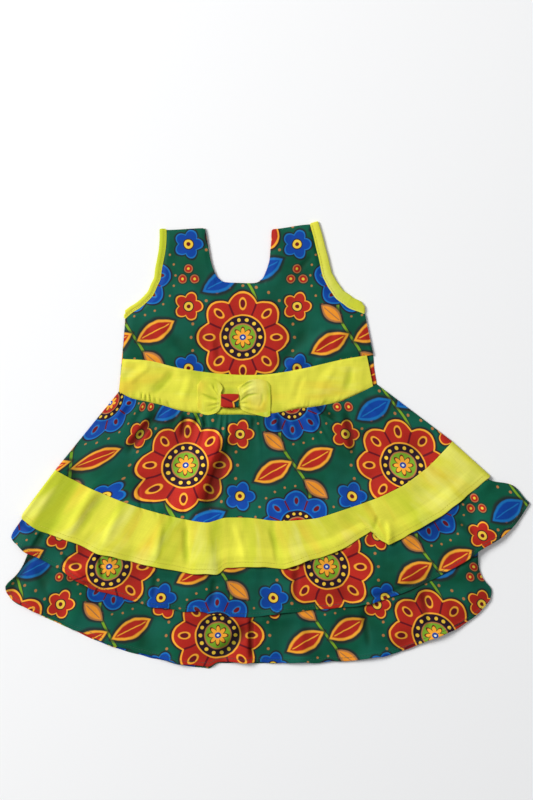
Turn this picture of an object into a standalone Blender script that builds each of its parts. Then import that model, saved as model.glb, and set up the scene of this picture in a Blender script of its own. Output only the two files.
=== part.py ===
"""A toddler's sleeveless wax print dress with a three-tier skirt, laid flat on its back.

+X is the wearer's left side as seen from the front (right in plan), +Y runs from hem to shoulders,
+Z comes out of the front of the dress. The back lies flat at z = 0. The outlines below are sizes in
millimetres from a datum where the centre-front line crosses the waist seam; at the end everything is
moved so that the origin is the middle of the dress's outline, on the surface it rests on.
"""

import math

import bmesh
import bpy
from mathutils import Vector

MM = 0.001

# ---- Cloth -------------------------------------------------------------------------------------
WALL = 1.2  # thickness of every wall of cloth
GAP = 0.3  # between two pieces at a seam, or lying on each other
PITCH = WALL + GAP  # height that one layer adds to what lies on it

# ---- Skirt: one row for each rib, from the left side seam to the right ---------------------------
# A rib runs from the waist seam down through the band seam and the hems of the three tiers.
# waist x, y | band seam x, y | upper hem x, y | middle hem x, y | lower hem x, y
RIBS = (
    (-133, 25, -202, -60, -241, -112, -252, -134, -257, -189),
    (-120, 18, -186, -69, -219, -126, -232, -151, -250, -201),
    (-102, 14, -161, -81, -186, -137, -199, -166, -219, -217),
    (-85, 10, -135, -92, -154, -151, -169, -187, -181, -234),
    (-69, 5, -110, -101, -121, -159, -134, -197, -143, -250),
    (-52, 2, -85, -108, -88, -166, -99, -208, -105, -261),
    (-37, 1, -59, -114, -56, -172, -66, -213, -69, -270),
    (-22, 0, -36, -117, -27, -173, -34, -216, -37, -274),
    (-13, 0, -17, -112, -12, -166, -16, -219, -21, -269),
    (5, 0, 10, -112, 23, -165, 12, -220, 12, -270),
    (19, -1, 34, -115, 48, -167, 37, -217, 43, -270),
    (33, 1, 57, -115, 75, -158, 64, -214, 70, -270),
    (49, 4, 84, -112, 108, -147, 102, -210, 102, -269),
    (66, 7, 113, -103, 141, -127, 135, -207, 143, -265),
    (76, 8, 136, -95, 160, -141, 157, -200, 171, -259),
    (88, 10, 154, -88, 184, -129, 184, -191, 201, -247),
    (107, 14, 179, -75, 217, -110, 222, -172, 233, -234),
    (126, 22, 205, -55, 244, -89, 258, -149, 258, -217),
    (148, 33, 230, -29, 272, -67, 315, -96, 271, -202),
)
LAST_RIB = len(RIBS) - 1
RIB_PULL = 0.7  # how round the hems run through the ribs: 1 is a full curve, 0 is straight lines
# Where the right end of the middle tier swells beyond the ribs and levels either side of it:
# rib | ribs it fades over | level | levels it fades over | x | y
SWELLS = (
    (17.5, 0.5, 3.0, 1.0, 4.4, -4.7),
    (18.0, 0.8, 2.5, 0.5, 4.0, 7.0),
)

# Levels down the skirt, counted in the curves of RIBS: 0 waist, 1 band seam, 2, 3 and 4 the hems.
WAIST, BAND_SEAM, UPPER_HEM, MIDDLE_HEM, LOWER_HEM = 0.0, 1.0, 2.0, 3.0, 4.0
LOWER_TOP = 1.85  # the lower tier is sewn inside the middle one, just above the upper hem
BACK_DROP = 0.04  # the lower tier's back hangs this much of a level below its front
SEAM_SHARE = 0.003  # of a level, between a seam and the edge of a panel that meets it

# Where each wall is full height under the ones above it: level it rises from, is whole at,
# stays whole to, and is gone at.
OUTER_BACK_COVER = (-2.0, -1.0, 2.08, 2.25)
MIDDLE_COVER = (0.80, 0.92, 3.10, 3.25)
LOWER_COVER = (1.60, 1.78, 5.0, 6.0)
FRONT_CELLS, BACK_CELLS = 54, 36  # cells across a front and a back panel of the skirt
SIDE_DIP = 0.009  # share of the width over which the outer front comes down to the side seam
MIDDLE_INSET = 0.011  # the middle tier's sides stay this share inside the upper tier
LOWER_INSET = 3 / FRONT_CELLS  # the lower tier's sides leave the middle hem this share in
LOWER_SIDE = (1 / FRONT_CELLS, 2 / FRONT_CELLS)  # the middle tier rises over it between these
# From a side seam as far as this, a panel's columns close up to fit inside the panel over it.
OUTER_MARGIN, MIDDLE_MARGIN, LOWER_MARGIN = SIDE_DIP, 1 / FRONT_CELLS, 3 / BACK_CELLS

# Soft flutes of the outer front: one row for each.
# rib at the waist, rib at the hem, level it starts at, height at the hem, ribs it spreads left, right
UPPER_FLUTES = (
    (1.6, 1.9, 0.30, 2.4, 0.8, 1.0),
    (3.3, 3.2, 0.10, 3.0, 0.9, 0.8),
    (4.9, 4.8, 0.20, 3.4, 0.8, 0.9),
    (6.6, 6.7, 0.05, 3.6, 1.0, 0.9),
    (8.9, 8.8, 0.15, 2.6, 0.7, 0.8),
    (10.2, 10.4, 0.20, 3.2, 0.8, 0.9),
    (11.9, 11.9, 0.40, 2.2, 0.6, 0.6),
    (13.9, 14.0, 0.90, 3.6, 0.9, 0.8),
    (15.4, 15.5, 0.25, 2.6, 0.7, 0.8),
    (16.8, 16.9, 0.35, 2.4, 0.7, 0.6),
)
MIDDLE_FLUTES = (
    (3.0, 2.6, 2.10, 3.4, 1.0, 0.5),
    (5.0, 5.1, 2.10, 1.8, 0.9, 0.9),
    (7.4, 7.5, 2.10, 2.2, 0.9, 0.9),
    (10.0, 10.1, 2.10, 1.8, 0.9, 0.9),
    (13.0, 13.2, 2.10, 3.2, 1.0, 1.2),
    (16.4, 16.6, 2.10, 2.6, 0.8, 0.7),
)
LOWER_FLUTES = (
    (1.8, 1.6, 3.10, 2.6, 0.8, 0.8),
    (3.8, 3.9, 3.10, 2.0, 0.8, 0.7),
    (5.8, 6.0, 3.10, 3.4, 0.9, 0.8),
    (8.6, 8.7, 3.10, 3.4, 0.8, 0.6),
    (10.6, 10.8, 3.10, 2.4, 0.8, 0.8),
    (12.9, 13.0, 3.10, 2.0, 0.7, 0.8),
    (15.3, 15.4, 3.10, 3.0, 0.8, 0.8),
)
FLUTE_SIDE = 1.2  # ribs from a side seam over which flutes die out

GATHERS = 27  # puckers along the waist seam
GATHER_HEIGHT = 1.9
GATHER_FADE = (0.03, 0.10, 0.50)  # levels where a pucker starts, is highest, and is gone

# ---- Bodice: one row for each level, from the underarm up to the shoulder ------------------------
# left edge x, y | left of the neck x, y | right of the neck x, y | right edge x, y
BODICE_ROWS = (
    (-126, 105, -22, 106, 20, 107, 136, 104),
    (-123, 108, -22, 110, 20, 110, 130, 110),
    (-118, 112, -22, 114, 20, 114, 119, 116),
    (-110, 117, -22, 119, 20, 119, 112, 121),
    (-102, 124, -22, 126, 20, 126, 104, 127),
    (-96, 131, -22, 132, 20, 132, 99, 134),
    (-92, 140, -22, 140, 20, 140, 95, 140),
    (-89, 146, -22, 146, 20, 145, 92, 146),
    (-88, 150, -26, 150, 24, 149, 90, 150),
    (-87, 158, -30, 158, 28, 158, 88, 158),
    (-85, 168, -33, 168, 31, 168, 86, 168),
    (-83, 179, -35, 179, 32, 179, 83, 180),
    (-82, 190, -37, 191, 33, 190, 80, 193),
    (-82, 201, -39, 203, 33, 202, 76, 207),
)
UNDERARM_ROW, NECK_ROW, SHOULDER_ROW = 0, 7, len(BODICE_ROWS) - 1
SIDE_COLUMNS, NECK_COLUMNS = 12, 4  # cells across each half of the bodice, and across the neck

# Soft creases in the bodice: x, y at one end | x, y at the other | height | half-width
BODICE_CREASES = (
    (52, 52, 92, 88, 1.6, 9),
    (84, 60, 112, 92, 1.3, 8),
    (-60, 56, -92, 92, 1.2, 10),
    (-30, 62, -34, 104, 0.9, 8),
)

# ---- Waistband: its top edge, left to right, x, y; its lower edge is the waist seam ---------------
BAND_TOP = (
    (-129, 60), (-99, 58), (-66, 50), (-22, 44), (23, 43), (64, 49), (108, 59), (137, 64), (144, 65),
)  # fmt: skip
BAND_END, BAND_WAIST_END = 7, 0.985  # it stops here on BAND_TOP and on the waist seam, short of the side
# Under the bodice's left edge, the neck's two sides and the bodice's right edge lie these points of
# BAND_TOP, where the front ends, and these ribs of the waist seam, where the back ends.
FRONT_FOOT = (0, 3, 4, 8)
BACK_FOOT = (0, 7, 10, 18)

# ---- Armhole bindings ----------------------------------------------------------------------------
# row of the bodice it starts from | finished width there | and at the shoulder
LEFT_BINDING = (0, 5.4, 7.0)
RIGHT_BINDING = (1, 11.5, 8.4)
BINDING_TURN_STEPS = 4

# ---- Bow: one row for each section across it, left to right --------------------------------------
# x | lower edge y | upper edge y | underside z of the back layer | underside z of the front layer
ON_BAND = 2 * PITCH  # the bow rests on the waistband
IN_KNOT = ON_BAND + PITCH  # inside the knot it is lifted by the knot's own wall
BOW_SECTIONS = (
    (-47.0, 5.0, 33.0, ON_BAND, ON_BAND + 3.8),
    (-43.0, 1.5, 38.0, ON_BAND, ON_BAND + 4.4),
    (-36.0, -0.5, 40.0, ON_BAND, ON_BAND + 4.8),
    (-29.0, 1.0, 40.0, ON_BAND + 0.3, ON_BAND + 4.8),
    (-25.0, 3.6, 36.0, ON_BAND + 0.6, ON_BAND + 4.4),
    (-22.6, 8.0, 25.0, IN_KNOT, IN_KNOT + PITCH),
    (-21.8, 9.3, 20.7, IN_KNOT, IN_KNOT + PITCH),
    (-2.2, 9.3, 20.7, IN_KNOT, IN_KNOT + PITCH),
    (-1.4, 8.2, 23.5, IN_KNOT, IN_KNOT + PITCH),
    (3.0, 4.4, 33.0, ON_BAND + 0.6, ON_BAND + 4.6),
    (10.0, 1.6, 38.5, ON_BAND, ON_BAND + 4.8),
    (20.0, -1.0, 39.5, ON_BAND, ON_BAND + 4.8),
    (28.0, -2.8, 37.5, ON_BAND, ON_BAND + 4.4),
    (31.5, -1.0, 33.0, ON_BAND, ON_BAND + 3.8),
)
BOW_PLEAT = 0.5  # height of the pleats that run into the knot
BOW_OVER_GATHERS = 1.4  # its lower edge rises this much over the gathers
BOW_EDGE_DROOP = 0.6  # the front layer's long edges curl down by this
BOW_ROWS = 6  # cells across the bow's width
KNOT_LEFT, KNOT_RIGHT = -21.6, -2.4
KNOT_LOW, KNOT_HIGH = 7.7, 22.3  # outer edges of the knot
KNOT_CORNER = 2.0

# ---- Colours: base colour, roughness --------------------------------------------------------------
PRINT_GREEN = ((0.020, 0.150, 0.085), 0.75)
PLAIN_YELLOW = ((0.780, 0.720, 0.050), 0.70)
PRINT_RED = ((0.480, 0.030, 0.020), 0.75)


def smooth(x):
    x = min(max(x, 0.0), 1.0)
    return x * x * (3 - 2 * x)


def ramp(x, start, end):
    return min(max((x - start) / (end - start), 0.0), 1.0)


def mix(a, b, share):
    return a + (b - a) * share


def bump(x):
    """1 at x = 0, falling smoothly to 0 at x = 1 either side."""
    return 0.5 + 0.5 * math.cos(math.pi * x) if abs(x) < 1 else 0.0


def through(points, at, pull=1.0):
    """The point at `at` rows along a smooth curve through the points."""
    k = min(int(at), len(points) - 2)
    f = at - k
    before, after = points[max(k - 1, 0)], points[min(k + 2, len(points) - 1)]
    a, b = points[k], points[k + 1]
    found = []
    for p, q, r, s in zip(before, a, b, after):
        leave, arrive = pull * (r - p) / 2, pull * (s - q) / 2
        found.append(
            q * (2 * f**3 - 3 * f**2 + 1)
            + leave * (f**3 - 2 * f**2 + f)
            + r * (3 * f**2 - 2 * f**3)
            + arrive * (f**3 - f**2)
        )
    return found


# ---- Skirt -----------------------------------------------------------------------------------------


def skirt_plan(s, level):
    """x, y at share s of the width, from the left side seam, and at a level down the skirt."""
    row = through(RIBS, s * LAST_RIB, RIB_PULL)
    k = min(int(level), 3)
    f = level - k
    x, y = mix(row[2 * k], row[2 * k + 2], f), mix(row[2 * k + 1], row[2 * k + 3], f)
    for rib, ribs, centre, levels, out_x, out_y in SWELLS:
        share = bump((s * LAST_RIB - rib) / ribs) * bump((level - centre) / levels)
        x, y = x + out_x * share, y + out_y * share
    return x, y


def cover(limits, level):
    rise, whole, still, gone = limits
    return ramp(level, rise, whole) * (1 - ramp(level, still, gone))


def middle_cover(s, level):
    return cover(MIDDLE_COVER, level) * ramp(min(s, 1 - s), 0, SIDE_DIP)


def lower_cover(s, level):
    return cover(LOWER_COVER, level) * ramp(min(s, 1 - s), *LOWER_SIDE)


def flutes(table, last_level, s, level):
    """Height that the flutes of a table add."""
    rib = s * LAST_RIB
    total = 0.0
    for top, hem, start, height, left, right in table:
        centre = mix(top, hem, level / last_level)
        x = (rib - centre) / (left if rib < centre else right)
        total = max(total, height * bump(x) * smooth((level - start) / (last_level - start)))
    return total * smooth(min(rib, LAST_RIB - rib) / FLUTE_SIDE)


def gathers(s, level):
    """Height of the puckers below the waist seam, uneven from one to the next."""
    first, peak, last = GATHER_FADE
    down = mix(0.4, 1.0, smooth((level - first) / (peak - first)))
    down *= 1 - smooth((level - peak) / (last - peak))
    uneven = 0.62 + 0.25 * math.sin(19.0 * s + 0.7) + 0.13 * math.sin(47.0 * s)
    pucker = 0.5 - 0.5 * math.cos(2 * math.pi * GATHERS * s)
    return GATHER_HEIGHT * uneven * pucker * down * smooth(min(s, 1 - s) / 0.03)


def outer_back_height(s, level):
    return 0.0


def middle_back_height(s, level):
    return PITCH * cover(OUTER_BACK_COVER, level)


def lower_back_height(s, level):
    return PITCH * (cover(OUTER_BACK_COVER, level) + middle_cover(s, level))


def lower_front_height(s, level):
    return lower_back_height(s, level) + PITCH + flutes(LOWER_FLUTES, LOWER_HEM, s, level)


def middle_front_height(s, level):
    under = cover(OUTER_BACK_COVER, level) + 1 + 2 * lower_cover(s, level)
    return PITCH * under + flutes(MIDDLE_FLUTES, MIDDLE_HEM, s, level)


def outer_front_height(s, level):
    under = 1 + 2 * middle_cover(s, level) + 2 * lower_cover(s, level)
    return PITCH * under + max(flutes(UPPER_FLUTES, UPPER_HEM, s, level), gathers(s, level))


def no_inset(level):
    return 0.0


def middle_inset(level):
    return MIDDLE_INSET * (1 - ramp(level, UPPER_HEM, MIDDLE_HEM))


def lower_inset(level):
    return LOWER_INSET * (1 - ramp(level, MIDDLE_HEM, LOWER_HEM) ** 2.5)


def share_across(column, inset, margin):
    """Share of the skirt's width where a column of an inset panel lies."""
    from_side = min(column, 1 - column)
    if from_side < margin:
        from_side = mix(inset, margin, from_side / margin)
    return from_side if column < 0.5 else 1 - from_side


# ---- Bodice ----------------------------------------------------------------------------------------


def bodice_plan(back, across, row):
    """x, y at `across` (0 left edge, 1 and 2 the neck's two sides, 3 right edge) and a row.

    Rows below the underarm run from -1, the bodice's lower edge, to 0.
    """
    part = min(int(across), 2)
    f = across - part
    k = min(int(max(row, 0)), SHOULDER_ROW - 1)
    here = [mix(a, b, max(row, 0) - k) for a, b in zip(BODICE_ROWS[k], BODICE_ROWS[k + 1])]
    x0, y0, x1, y1 = here[2 * part : 2 * part + 4]
    x, y = mix(x0, x1, f), mix(y0, y1, smooth(f))
    if row < 0:
        if back:
            low_x, low_y = skirt_plan(mix(*BACK_FOOT[part : part + 2], f) / LAST_RIB, WAIST)
        else:
            low_x, low_y = through(BAND_TOP, mix(*FRONT_FOOT[part : part + 2], f))
        x, y = mix(x, low_x, -row), mix(y, low_y, -row)
    return x, y


def crease_height(x, y):
    """Height that the soft creases add to the bodice's front."""
    total = 0.0
    for x0, y0, x1, y1, height, half_width in BODICE_CREASES:
        along = Vector((x1 - x0, y1 - y0))
        t = (Vector((x - x0, y - y0)) @ along) / along.length_squared
        nearest = Vector((x0, y0)) + along * min(max(t, 0.0), 1.0)
        away = (Vector((x, y)) - nearest).length
        total = max(total, height * bump(away / half_width))
    return total


# ---- Building --------------------------------------------------------------------------------------


def finish(name, bm, cloth):
    """A closed bmesh, in millimetres, made into a named object with its cloth."""
    bmesh.ops.recalc_face_normals(bm, faces=bm.faces)
    bmesh.ops.scale(bm, vec=(MM, MM, MM), verts=bm.verts)
    mesh = bpy.data.meshes.new(name)
    bm.to_mesh(mesh)
    bm.free()
    mesh.shade_smooth()
    mesh.set_sharp_from_angle(angle=math.radians(50))
    mesh.materials.append(cloth)
    made = bpy.data.objects.new(name, mesh)
    bpy.context.scene.collection.objects.link(made)
    return made


def cloth_of(name, colour, roughness):
    material = bpy.data.materials.new(name)
    material.use_nodes = True
    shader = material.node_tree.nodes["Principled BSDF"]
    shader.inputs["Base Color"].default_value = (*colour, 1)
    shader.inputs["Roughness"].default_value = roughness
    return material


def grid_of(columns, rows, place):
    """A bmesh grid whose points are placed by a function of a column's and a row's value."""
    bm = bmesh.new()
    bmesh.ops.create_grid(bm, x_segments=len(columns) - 1, y_segments=len(rows) - 1, size=0.5)
    for k, vert in enumerate(bm.verts):
        vert.co = place(columns[k % len(columns)], rows[k // len(columns)])
    return bm


def wall(name, bm, cloth):
    """The grid made one closed wall, raised from its underside by the cloth's thickness."""
    raised = bmesh.ops.extrude_face_region(bm, geom=bm.faces[:])["geom"]
    tops = [v for v in raised if isinstance(v, bmesh.types.BMVert)]
    bmesh.ops.translate(bm, verts=tops, vec=(0, 0, WALL))
    return finish(name, bm, cloth)


def tier(name, inset, margin, height, levels, cells, cloth, drop=0.0):
    """A panel of the skirt, of this many cells between its side seams."""
    inner = [k / cells for k in range(1, cells)]
    dip = [SIDE_DIP] if margin == OUTER_MARGIN else []
    columns = [0.0] + dip + inner + [1 - share for share in dip] + [1.0]

    def place(column, level):
        s = share_across(column, inset(level), margin)
        lower = level + drop * ramp(level, MIDDLE_HEM, LOWER_HEM) * bump(2.5 * (s - 0.3))
        x, y = skirt_plan(s, lower)
        return x, y, height(s, level)

    return wall(name, grid_of(columns, levels, place), cloth)


def bodice_panel(name, back, cloth):
    """The front or the back of the bodice, with the neck cut out between its straps."""
    levels = [-1.0, -0.8, -0.6, -0.4, -0.2] + list(range(UNDERARM_ROW, SHOULDER_ROW + 1))
    columns = [k / SIDE_COLUMNS for k in range(SIDE_COLUMNS)]
    columns += [1 + k / NECK_COLUMNS for k in range(NECK_COLUMNS)]
    columns += [2 + k / SIDE_COLUMNS for k in range(SIDE_COLUMNS + 1)]

    def place(across, level):
        x, y = bodice_plan(back, across, level)
        return x, y, 0.0 if back else PITCH + crease_height(x, y)

    bm = grid_of(columns, levels, place)
    bm.faces.ensure_lookup_table()
    across_cells = len(columns) - 1
    neck = []
    for k, face in enumerate(bm.faces):
        column, level = columns[k % across_cells], levels[k // across_cells]
        if 1 <= column < 2 and level >= NECK_ROW:
            neck.append(face)
    bmesh.ops.delete(bm, geom=neck, context="FACES")
    return wall(name, bm, cloth)


def waistband(cloth):
    """The yellow band across the front, between the bodice and the waist seam."""
    columns = [k / 36 for k in range(37)]
    shares = [0.0, 0.3, 0.7, 1.0]

    def place(column, share):
        top_x, top_y = through(BAND_TOP, column * BAND_END)
        low_x, low_y = skirt_plan(column * BAND_WAIST_END, WAIST)
        return mix(low_x, top_x, share), mix(low_y, top_y - GAP, share), PITCH

    return wall("waistband", grid_of(columns, shares, place), cloth)


def closed_tube(name, sections, cloth):
    """A ring of wall: a closed run of sections, each a closed run of points."""
    columns = list(range(len(sections[0]) + 1))
    rows = list(range(len(sections) + 1))

    def place(column, row):
        return sections[row % len(sections)][column % len(sections[0])]

    bm = grid_of(columns, rows, place)
    bmesh.ops.remove_doubles(bm, verts=bm.verts, dist=0.001)
    return finish(name, bm, cloth)


def armhole_binding(name, edge, side, widths, cloth):
    """A strip bound round an armhole: up the front's edge, over the shoulder and down the back's.

    edge is the bodice's armhole edge, from underarm to shoulder; side is -1 on the left. widths are
    the strip's at the underarm and at the shoulder.
    """
    front_z, back_z = PITCH + WALL / 2, WALL / 2
    middle_z, radius = (front_z + back_z) / 2, (front_z - back_z) / 2
    last = len(edge) - 1
    points = [Vector((x, y, 0)) for x, y in edge]
    acrosses = []
    for k in range(last + 1):
        along = points[min(k + 1, last)] - points[max(k - 1, 0)]
        outward = Vector((side * along.y, -side * along.x, 0)).normalized()
        across = Vector((0, 1, 0)).lerp(outward, min(k / 2, 1)).normalized()
        acrosses.append(across / max(across @ outward, 0.8))
    strip_widths = [mix(*widths, k / last) for k in range(last + 1)]

    def section(k, z, angle, lean):
        """Four corners across the strip at edge point k, its face turned by an angle towards lean."""
        half = (Vector((0, 0, math.cos(angle))) + lean * math.sin(angle)) * WALL / 2
        near = points[k] + acrosses[k] * GAP + Vector((0, 0, z)) + lean * radius * math.sin(angle)
        far = near + acrosses[k] * strip_widths[k]
        return [near - half, far - half, far + half, near + half]

    def half_turn(k, lean, angles):
        return [section(k, middle_z + radius * math.cos(angle), angle, lean) for angle in angles]

    over_shoulder = Vector((-side * acrosses[-1].y, side * acrosses[-1].x, 0)).normalized()
    steps = [math.pi * k / BINDING_TURN_STEPS for k in range(1, BINDING_TURN_STEPS)]
    still = Vector((0, 0, 0))
    sections = [section(k, front_z, 0.0, still) for k in range(last + 1)]
    sections += half_turn(last, over_shoulder, steps)
    sections += [section(k, back_z, math.pi, still) for k in range(last, -1, -1)]
    sections += half_turn(0, Vector((side, 0, 0)), steps[::-1])
    return closed_tube(name, sections, cloth)


def bow_layer(section, share, front):
    """x, y and mid-height of the bow's back or front layer, at a share across from its lower edge."""
    x, low, high, back_z, front_z = section
    y = mix(low, high, share)
    edge = (2 * share - 1) ** 4  # 1 at the two long edges, 0 over most of the width
    if not front:
        return Vector((x, y, back_z + BOW_OVER_GATHERS * smooth(1 - y / 6) + WALL / 2))
    away = abs(x - (KNOT_LEFT + KNOT_RIGHT) / 2)
    pleats = BOW_PLEAT * smooth((away - 8) / 10) * (1 - smooth((away - 16) / 12)) * (1 - edge)
    ridge = 1 if round(share * BOW_ROWS) % 2 else -1
    droop = BOW_EDGE_DROOP * edge * smooth((away - 10) / 8)
    return Vector((x, y, front_z + pleats * ridge - droop + WALL / 2))


def bow(cloth):
    """One folded band: a back layer, a fold at each end, and a front layer with pleats."""
    shares = [k / BOW_ROWS for k in range(BOW_ROWS + 1)]
    up = Vector((0, 0, 1))
    sections = []
    for front, rows in ((False, BOW_SECTIONS), (True, BOW_SECTIONS[::-1])):
        for row in rows:
            outward = up if front else -up
            middles = [bow_layer(row, share, front) for share in shares]
            outer = [m + outward * WALL / 2 for m in middles]
            inner = [m - outward * WALL / 2 for m in middles]
            sections.append(outer + inner[::-1])
        side, climb = (-1, -1) if front else (1, 1)
        for degrees in (-45, 0, 45):
            angle = math.radians(degrees * climb)
            outward = Vector((side * math.cos(angle), 0, math.sin(angle)))
            outer, inner = [], []
            for share in shares:
                under, over = (bow_layer(rows[-1], share, layer) for layer in (False, True))
                radius = (over.z - under.z) / 2
                middle = (under + over) / 2 + outward * radius
                outer.append(middle + outward * WALL / 2)
                inner.append(middle - outward * WALL / 2)
            sections.append(outer + inner[::-1])
    return closed_tube("bow", sections, cloth)


def bow_knot(cloth):
    """A short strip of print wrapped round the bow's pinched middle."""
    low_z, high_z = ON_BAND, IN_KNOT + 2 * PITCH + WALL  # it holds the bow's two layers
    middle_y, middle_z = (KNOT_LOW + KNOT_HIGH) / 2, (low_z + high_z) / 2
    half_y, half_z = (KNOT_HIGH - KNOT_LOW) / 2, (high_z - low_z) / 2
    sections = []
    for corner in range(4):
        for step in range(3):
            angle = math.radians(90 * corner + 45 * step)
            quarter = math.radians(90 * corner + 45)
            sign_y, sign_z = math.copysign(1, math.cos(quarter)), math.copysign(1, math.sin(quarter))
            centre = Vector((sign_y * (half_y - KNOT_CORNER), sign_z * (half_z - KNOT_CORNER)))
            out = Vector((math.cos(angle), math.sin(angle)))
            outer, inner = centre + out * KNOT_CORNER, centre + out * (KNOT_CORNER - WALL)
            sections.append(
                [
                    Vector((KNOT_LEFT, middle_y + inner.x, middle_z + inner.y)),
                    Vector((KNOT_RIGHT, middle_y + inner.x, middle_z + inner.y)),
                    Vector((KNOT_RIGHT, middle_y + outer.x, middle_z + outer.y)),
                    Vector((KNOT_LEFT, middle_y + outer.x, middle_z + outer.y)),
                ]
            )
    return closed_tube("bow_knot", sections, cloth)


def centre_on_origin(objects):
    """Moves every mesh so that the middle of the dress's outline is the origin."""
    lows, highs = [], []
    for made in objects:
        points = [v.co for v in made.data.vertices]
        lows.append([min(p[k] for p in points) for k in range(2)])
        highs.append([max(p[k] for p in points) for k in range(2)])
    middle = [(min(p[k] for p in lows) + max(p[k] for p in highs)) / 2 for k in range(2)]
    for made in objects:
        for vert in made.data.vertices:
            vert.co.x -= middle[0]
            vert.co.y -= middle[1]


def main():
    for old in list(bpy.data.objects):
        bpy.data.objects.remove(old)
    green = cloth_of("wax_print", *PRINT_GREEN)
    yellow = cloth_of("plain_yellow", *PLAIN_YELLOW)
    red = cloth_of("wax_print_red", *PRINT_RED)

    after_waist, to_band, from_band = WAIST + SEAM_SHARE, BAND_SEAM - SEAM_SHARE, BAND_SEAM + SEAM_SHARE
    upper_front = [after_waist, 0.10, 0.22, 0.45, 0.80, 0.92, to_band]
    upper_back = [after_waist, 0.5, to_band]
    band_front = [from_band, 1.30, 1.60, 1.78, UPPER_HEM]
    band_back = [from_band, 1.5, UPPER_HEM]
    middle_front = [from_band, 1.30, 1.60, 1.78, 2.08, 2.25, 2.50, 2.75, MIDDLE_HEM]
    middle_back = [from_band, 1.60, 2.08, 2.25, 2.50, 2.75, MIDDLE_HEM]
    lower_front = [LOWER_TOP, 2.08, 2.25, 2.60, 3.10, 3.25, 3.50, 3.75, LOWER_HEM]
    lower_back = [LOWER_TOP, 2.08, 2.25, 3.10, 3.25, LOWER_HEM]
    outer = (no_inset, OUTER_MARGIN)
    middle = (middle_inset, MIDDLE_MARGIN)
    lower = (lower_inset, LOWER_MARGIN)
    objects = [
        tier("upper_tier_front", *outer, outer_front_height, upper_front, FRONT_CELLS, green),
        tier("upper_tier_back", *outer, outer_back_height, upper_back, BACK_CELLS, green),
        tier("hem_band_front", *outer, outer_front_height, band_front, FRONT_CELLS, yellow),
        tier("hem_band_back", *outer, outer_back_height, band_back, BACK_CELLS, yellow),
        tier("middle_tier_front", *middle, middle_front_height, middle_front, FRONT_CELLS, green),
        tier("middle_tier_back", *middle, middle_back_height, middle_back, BACK_CELLS, green),
        tier("lower_tier_front", *lower, lower_front_height, lower_front, FRONT_CELLS, green),
        tier("lower_tier_back", *lower, lower_back_height, lower_back, BACK_CELLS, green, BACK_DROP),
        bodice_panel("bodice_front", False, green),
        bodice_panel("bodice_back", True, green),
        waistband(yellow),
        bow(yellow),
        bow_knot(red),
    ]
    for name, side, first, (row, *widths) in (
        ("left_armhole_binding", -1, 0, LEFT_BINDING),
        ("right_armhole_binding", 1, 6, RIGHT_BINDING),
    ):
        edge = [points[first : first + 2] for points in BODICE_ROWS[row:]]
        objects.append(armhole_binding(name, edge, side, widths, yellow))
    centre_on_origin(objects)


main()
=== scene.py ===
"""The finish of a toddler's wax print dress that lies flat on its back.

Each solid of the frame is replaced by thin cloth on the same form, with its finer gathers, creases,
hems and stitches. Sizes are in millimetres from the dress's own datum, where the centre-front line
crosses the waist seam, and become metres in the frame when a piece is finished.
"""

import functools
import math

import bmesh
import bpy
from mathutils import Matrix, Vector, noise


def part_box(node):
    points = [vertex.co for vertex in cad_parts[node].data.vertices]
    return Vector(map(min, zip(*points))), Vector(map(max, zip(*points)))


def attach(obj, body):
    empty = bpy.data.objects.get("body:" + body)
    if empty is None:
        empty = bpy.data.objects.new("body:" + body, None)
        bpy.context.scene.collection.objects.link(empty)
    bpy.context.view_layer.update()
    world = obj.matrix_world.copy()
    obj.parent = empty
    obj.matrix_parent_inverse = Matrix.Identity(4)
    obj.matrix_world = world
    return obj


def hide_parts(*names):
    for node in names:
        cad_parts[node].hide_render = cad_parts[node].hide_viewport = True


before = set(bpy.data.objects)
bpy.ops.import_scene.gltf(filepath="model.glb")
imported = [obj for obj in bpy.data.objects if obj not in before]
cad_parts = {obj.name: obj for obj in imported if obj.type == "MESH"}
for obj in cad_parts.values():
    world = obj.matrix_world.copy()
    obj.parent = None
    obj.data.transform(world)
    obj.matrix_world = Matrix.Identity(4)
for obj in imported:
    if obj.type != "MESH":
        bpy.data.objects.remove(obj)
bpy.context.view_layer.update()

MM = 0.001

# ---- Layers, as in the solids --------------------------------------------------------------------
WALL = 1.2  # a solid wall's thickness
GAP = 0.3  # between two solids
PITCH = WALL + GAP

# ---- Cloth ---------------------------------------------------------------------------------------
CLOTH = 0.6  # a single layer of cotton, with its nap
HEM_FOLD = 1.15  # a hem, where the cloth is folded over twice
HEM_STEP = 1.2  # over which a hem's inner edge falls to single cloth
EDGE_ROUND = 1.0  # how far in from an edge the cloth is rounded
EDGE_THIN = 0.45  # share of the thickness at the very edge
STITCH_GROOVE, GROOVE_WIDTH = 0.22, 1.1  # the dent that a row of stitches pulls into the cloth
BAND_HEM, BAND_STITCH_IN = 6.6, 5.3  # the yellow band's hem, and its stitches' distance from the edge
TIER_HEM, TIER_STITCH_IN = 5.0, 3.9
NECK_HEM = 6.0
FRONT_CELL, BACK_CELL = 1.9, 3.2  # size of the mesh's cells

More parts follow.
